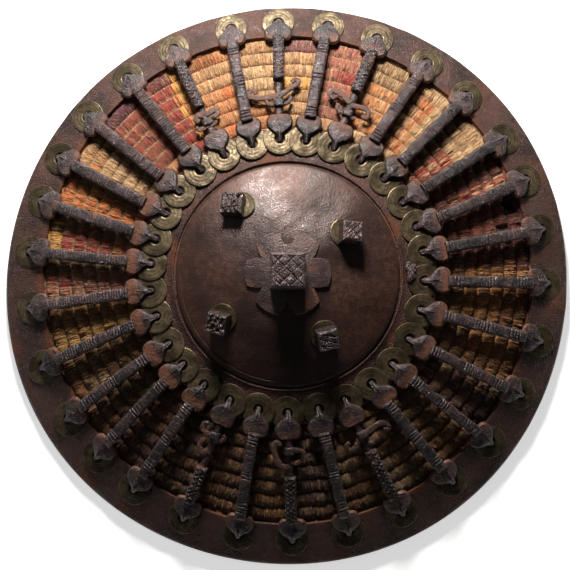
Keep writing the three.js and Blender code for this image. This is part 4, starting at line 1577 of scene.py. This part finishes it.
@dataclass
class Rosette:
    """The six-petalled plate under the centre block."""

    dome: Dome
    finishes: Finishes
    reach: float = 31.0
    notch: float = 21.0
    plate: float = 2.0
    clearance: float = 0.3
    hole_circle: float = 24.6
    hole_radius: float = 4.3

    def build(self) -> None:
        """Builds the plate."""
        clock = np.arange(0, 360, 1.0)
        radius = np.array([self._radius(c) for c in clock])
        outline = polar(radius, clock)
        levels = (
            (0.03, 0.0), (0.985, 0.0), (1.0, 0.15), (1.0, 0.75), (0.985, 0.97),
            (0.9, 1.0), (0.6, 1.0), (0.3, 1.0), (0.03, 1.0),
        )
        plan = np.array([outline * scale for scale, _ in levels])
        lift = self.clearance + self.plate * np.array([rise for _, rise in levels])[:, None]
        spots = np.concatenate([plan, np.zeros((*plan.shape[:2], 1))], -1)
        lift = lift + 0.12 * Wander(71, 15.0)(spots) * (lift > 1.0)
        rust = np.clip(0.2 + 0.25 * Wander(72, 16.0)(spots), 0, 1)
        Skin().solid(self.dome.lay(plan, lift), rust=rust).build(
            "rosette_plate", self.finishes.rosette, "iron_plate", ["rosette"], crease=35
        )

    def _radius(self, clock: float) -> float:
        """Outline radius at a clock angle.

        Args:
            clock: Clock angle.

        Returns:
            The radius, less at the V notches between the petals and at the round notch on top.
        """
        from_petal = clock % 60 - 30
        away = abs(from_petal)
        full = self.reach - 0.0016 * from_petal**2
        if away > 18:
            full = min(full, self.notch + (30 - away) * 0.78)
        wide = (clock + 180) % 360 - 180
        if abs(wide) < 20:
            full = self.reach - 2.0
            side = math.radians(abs(wide))
            off = self.hole_circle * math.sin(side)
            if off < self.hole_radius:
                full = min(full, self.hole_circle * math.cos(side) - math.sqrt(self.hole_radius**2 - off**2))
        return full


@dataclass(frozen=True)
class Lattice:
    """Lines cut across the square top of a rivet: (angle, offset share, depth)."""

    lines: tuple[tuple[float, float, float], ...]
    lumps: float


BLOCK_LATTICE = Lattice((
    (-45, 0.02, 1.0), (-47, 0.62, 0.7), (-43, -0.6, 0.7), (-45, -1.0, 0.6), (45, 0.3, 0.75), (43, -0.3, 0.7),
    (47, 0.85, 0.7), (45, -0.85, 0.7), (-45, 1.05, 0.5),
), 0.12)
STUD_LATTICE = Lattice((
    (-45, 0.0, 0.9), (45, 0.05, 0.9), (-45, 0.7, 0.7), (45, -0.65, 0.7), (45, 0.75, 0.6), (-45, -0.7, 0.6),
), 0.16)
LUMPY_LATTICE = Lattice(((-40, 0.5, 0.9), (55, -0.3, 0.9), (10, -0.55, 0.8), (80, 0.55, 0.8)), 0.5)
SLANT_LATTICE = Lattice(((-20, 0.5, 0.9), (-25, -0.1, 0.9), (-22, -0.7, 0.8), (60, 0.2, 0.5)), 0.18)


@dataclass
class SquareRivet:
    """A square iron head with a lattice cut in its top, and the shank behind it."""

    dome: Dome
    finishes: Finishes
    name: str
    node: str
    side: float
    height: float
    base: float
    shank: float
    shank_length: float
    lattice: Lattice
    circle: float = 0.0
    clock: float = 0.0
    turn: float = 0.0
    bevel: float = 1.3
    cut: float = 0.75
    grain: int = 46

    def build(self) -> None:
        """Builds the rivet."""
        half = self.side / 2
        edge = np.linspace(-1, 1, self.grain)
        run, wall = edge[:-1], np.ones(self.grain - 1)
        square = np.concatenate([
            np.stack(side, 1) for side in ((run, -wall), (wall, run), (-run, wall), (-wall, -run))
        ])
        top_rings = np.linspace(1, 0.03, self.grain // 2)
        inset = (half - self.bevel) / half
        stem, foot = self.shank / 2 / half, -self.shank_length
        levels = [
            (stem * 0.8, foot), (stem * 1.15, foot + 0.7), (stem * 1.1, foot + 2), (stem, foot + 3.2),
            (stem, 0.0), (0.97, 0.0), (1.0, 0.5), (1.0, self.height * 0.5), (1.0, self.height - self.bevel),
        ]
        levels += [(inset * ring, self.height) for ring in top_rings]
        plan = np.array([square * scale * half for scale, _ in levels])
        z = np.array([level for _, level in levels])[:, None] * np.ones((1, len(square)))
        on_top = (np.arange(len(levels)) >= len(levels) - len(top_rings))[:, None]
        depth = np.zeros_like(z)
        for angle, offset, deep in self.lattice.lines:
            direction = np.radians(angle)
            beside = plan[..., 0] * -np.sin(direction) + plan[..., 1] * np.cos(direction)
            away = np.abs(beside - offset * half * 0.9)
            depth = np.maximum(depth, self.cut * deep * np.clip(1 - away / self.cut, 0, 1))
        seed = len(self.name) * 7 + int(self.clock)
        rough = Wander(seed, 4.5)(np.concatenate([plan, z[..., None]], -1))
        z = z - on_top * (depth + self.lattice.lumps * (rough + 0.8))
        body = (z > 1.0)[..., None]
        swell = Wander(seed + 1, 9.0)(np.concatenate([plan, z[..., None]], -1))[..., None]
        plan = plan * (1 + 0.012 * body * swell)
        turn = math.radians(self.turn + self.clock)
        x = plan[..., 0] * math.cos(turn) - plan[..., 1] * math.sin(turn)
        y = plan[..., 0] * math.sin(turn) + plan[..., 1] * math.cos(turn)
        local = np.stack([x, y, z + self.base], -1)
        rust = np.where(depth > 0.3, 0.5, 0.12)
        Skin().solid(self.dome.stand(local, self.circle, self.clock), rust=rust).build(
            self.name, self.finishes.forged, "forged_iron", [self.node], crease=35
        )


@dataclass(frozen=True)
class StudSize:
    """Sizes and place of one stud on the boss."""

    circle: float
    clock: float
    side: float
    height: float
    turn: float
    lattice: Lattice


STUDS = (
    StudSize(61, 321.5, 15.5, 10.5, -5, LUMPY_LATTICE), StudSize(51, 57.5, 14.5, 14, -3, STUD_LATTICE),
    StudSize(52.5, 149, 14.5, 12.5, 13, SLANT_LATTICE), StudSize(58.5, 234.5, 14.5, 13, -14, LUMPY_LATTICE),
)


@dataclass
class BossWork:
    """Everything that stands on the boss: the centre block, the studs and their washers."""

    dome: Dome
    finishes: Finishes
    studs: tuple[StudSize, ...] = STUDS
    stud_base: float = 1.8
    stud_shank: float = 6.0
    stud_shank_length: float = 12.0
    washer_shifts: tuple[tuple[float, float], ...] = ((4.6, 2.0), (-2.8, 1.8), (-1.0, 1.6), (1.2, 2.4))

    def build(self) -> None:
        """Builds the block, the studs and the washers."""
        SquareRivet(
            self.dome, self.finishes, "block_head", "centre_block", side=25, height=24, base=2.6, shank=9,
            shank_length=9, lattice=BLOCK_LATTICE, bevel=1.5, grain=64,
        ).build()
        for number, (stud, shift) in enumerate(zip(self.studs, self.washer_shifts), 1):
            SquareRivet(
                self.dome, self.finishes, f"stud_head_{number}", f"boss_stud_{number}", stud.side,
                stud.height, self.stud_base, self.stud_shank, self.stud_shank_length, stud.lattice,
                stud.circle, stud.clock, stud.turn,
            ).build()
            self._washer(number, stud, shift)

    def _washer(self, number: int, stud: StudSize, shift: tuple[float, float]) -> None:
        """Builds the washer under a stud.

        Args:
            number: The stud's number.
            stud: The stud.
            shift: How far it slipped to the right and up, as seen with the buckler upright.
        """
        points, dirt_and_shade = Washer(10.4, 3.2, 1.1, (0.88, 0.6)).sections(900 + number)
        turn = math.radians(stud.clock)
        right = shift[0] * math.cos(turn) - shift[1] * math.sin(turn)
        out = shift[0] * math.sin(turn) + shift[1] * math.cos(turn)
        local = points + np.array([right, out, 0.35])
        Skin().solid(self.dome.stand(local, stud.circle, stud.clock), ring=True, rust=dirt_and_shade).build(
            f"stud_disc_{number}", self.finishes.brass, "brass", [f"stud_washer_{number}"], crease=50
        )


@dataclass
class HandStraps:
    """Two leather loops behind the boss."""

    dome: Dome
    finishes: Finishes
    width: float = 22.0
    thickness: float = 3.0
    bow: float = 32.0
    loop_half: float = 33.0
    tab_end: float = 50.0
    plate: float = 2.0
    clearance: float = 1.2
    pairs: tuple[tuple[StudSize, StudSize], ...] = ((STUDS[0], STUDS[3]), (STUDS[1], STUDS[2]))

    def build(self) -> None:
        """Builds both straps."""
        for number, (first, second) in enumerate(self.pairs, 1):
            self._strap(number, first, second)

    def _strap(self, number: int, first: StudSize, second: StudSize) -> None:
        """Builds one strap.

        Args:
            number: Its number.
            first: The stud at one end.
            second: The stud at the other end.
        """
        sphere = self.dome.sphere
        a, b = (
            np.append(polar(stud.circle, stud.clock), math.sqrt(sphere**2 - stud.circle**2))
            for stud in (first, second)
        )
        along = (b - a) / np.linalg.norm(b - a)
        up = (a + b) / np.linalg.norm(a + b)
        side = np.cross(along, up)
        reach = sphere - self.plate - self.clearance - self.thickness / 2
        run = np.linspace(-self.tab_end, self.tab_end, 90)
        bow = self.bow * (1 + np.cos(np.pi * np.minimum(np.abs(run) / self.loop_half, 1))) / 2
        line = np.stack([run, np.sqrt(reach**2 - run**2) - bow], 1)
        tangent = np.gradient(line, axis=0)
        tangent /= np.linalg.norm(tangent, axis=1)[:, None]
        normal = np.stack([-tangent[:, 1], tangent[:, 0]], 1)
        half, thick = self.width / 2, self.thickness / 2
        edge = [
            (-half, 0.35), (-half + 0.7, 0.85), (-half + 2, 1.0), (-half / 3, 1.0),
            (half / 3, 1.0), (half - 2, 1.0), (half - 0.7, 0.85), (half, 0.35),
        ]
        loop = np.array(edge + [(x, -y) for x, y in reversed(edge)])
        pinch = 1 - 0.14 * np.exp(-((run / 20) ** 2))
        taper = 1 - 0.5 * ease((np.abs(run) - self.tab_end + 5) / 5) ** 2
        across = loop[:, 0][None] * (pinch * taper)[:, None]
        rise = loop[:, 1][None] * thick * np.ones_like(across)
        spots = np.stack([run[:, None] + 0 * across, across, 0 * across], -1)
        rise += 0.18 * Wander(80 + number, 12.0)(spots) * np.sign(rise)
        bend = 2.0 * (across / half) ** 2 * np.exp(-((run / 24) ** 2))[:, None]
        flat = line[:, None] + normal[:, None] * (rise + bend)[..., None]
        points = flat[..., :1] * along + flat[..., 1:] * up + across[..., None] * side
        points += np.array([self.dome.axis_x, self.dome.axis_y, self.dome.centre_z])
        rubbed = np.broadcast_to(ease((np.abs(loop[:, 0]) - half + 2.2) / 2)[None], across.shape)
        Skin().solid(points, rust=rubbed).build(
            f"hand_strap_{number}_leather", self.finishes.leather, "strap_leather",
            [f"hand_strap_{number}"], crease=60,
        )


@dataclass
class Studio:
    """The table, the lights and the camera."""

    finishes: Finishes
    distance: float = 1.6
    width: float = 0.4256
    elevation: float = 86.0
    target: tuple[float, float, float] = (-0.0012, -0.0012, 0.012)
    sensor: float = 36.0
    floor_half: float = 3.0
    floor_gap: float = 0.0003

    def build(self) -> None:
        """Sets the scene."""
        scene = bpy.context.scene
        scene.view_settings.view_transform = "Standard"
        scene.view_settings.look = "None"
        self._floor()
        self._light("key", (-0.06, 0.68, 0.50), 0.20, 17.0, (1.0, 0.96, 0.91))
        self._light("fill", (-0.7, 0.2, 1.1), 0.9, 0.6, (0.92, 0.95, 1.0))
        world = bpy.data.worlds.new("studio")
        world.use_nodes = True
        world.node_tree.nodes["Background"].inputs["Color"].default_value = (0.9, 0.93, 1.0, 1.0)
        world.node_tree.nodes["Background"].inputs["Strength"].default_value = 0.03
        scene.world = world
        self._camera()

    def _floor(self) -> None:
        """Lays the table top."""
        mesh = bpy.data.meshes.new("floor")
        half = self.floor_half
        corners = [(-half, -half, 0), (half, -half, 0), (half, half, 0), (-half, half, 0)]
        mesh.from_pydata(corners, [], [(0, 1, 2, 3)])
        mesh.materials.append(self.finishes.floor)
        floor = bpy.data.objects.new("floor", mesh)
        floor.location.z = -self.floor_gap
        bpy.context.scene.collection.objects.link(floor)

    @staticmethod
    def _light(
        name: str,
        place: tuple[float, float, float],
        size: float,
        power: float,
        colour: tuple[float, float, float],
    ) -> None:
        """Hangs one lamp that points at the buckler.

        Args:
            name: The lamp's name.
            place: Where it hangs.
            size: Side of its square face.
            power: Watts.
            colour: Its colour.
        """
        data = bpy.data.lights.new(name, "AREA")
        data.size, data.energy, data.color = size, power, colour
        lamp = bpy.data.objects.new(name, data)
        lamp.location = place
        aim = Vector((0.0, 0.0, 0.04)) - Vector(place)
        lamp.rotation_euler = aim.to_track_quat("-Z", "Y").to_euler()
        bpy.context.scene.collection.objects.link(lamp)

    def _camera(self) -> None:
        """Sets the camera over the face, leaning a little to the foot of the buckler."""
        data = bpy.data.cameras.new("camera")
        data.sensor_width = self.sensor
        data.lens = self.sensor / 2 / (self.width / 2 / self.distance)
        camera = bpy.data.objects.new("camera", data)
        lean = math.radians(self.elevation)
        back = Vector((0.0, -math.cos(lean), math.sin(lean)))
        camera.location = Vector(self.target) + back * self.distance
        camera.rotation_euler = (-back).to_track_quat("-Z", "Y").to_euler()
        bpy.context.scene.collection.objects.link(camera)
        bpy.context.scene.camera = camera


def axis_of(node: str) -> tuple[float, float]:
    """The middle of a CAD node in plan, in millimetres."""
    low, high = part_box(node)
    return (low.x + high.x) / 2 / MM, (low.y + high.y) / 2 / MM


def main() -> None:
    """Builds the buckler, piece by piece, and the scene round it."""
    logging.basicConfig(level=logging.INFO, format="%(name)s %(message)s")
    finishes = Finishes()
    axis = axis_of("inner_ring")
    bowl = Bowl(*axis)
    dome = Dome(*axis, edge_z=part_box("boss")[0].z / MM)
    middle = (axis[0], axis[1] - RIM_SLIP)
    CaneCoil(bowl, finishes).build()
    Plates(bowl, dome, finishes, middle).build()
    for spoke in SPOKES:
        ForgedBar(bowl, finishes, spoke).build()
    WasherRows(bowl, finishes).build()
    Rosette(dome, finishes).build()
    BossWork(dome, finishes).build()
    HandStraps(dome, finishes).build()
    Studio(finishes).build()


if __name__ == "__main__":
    main()
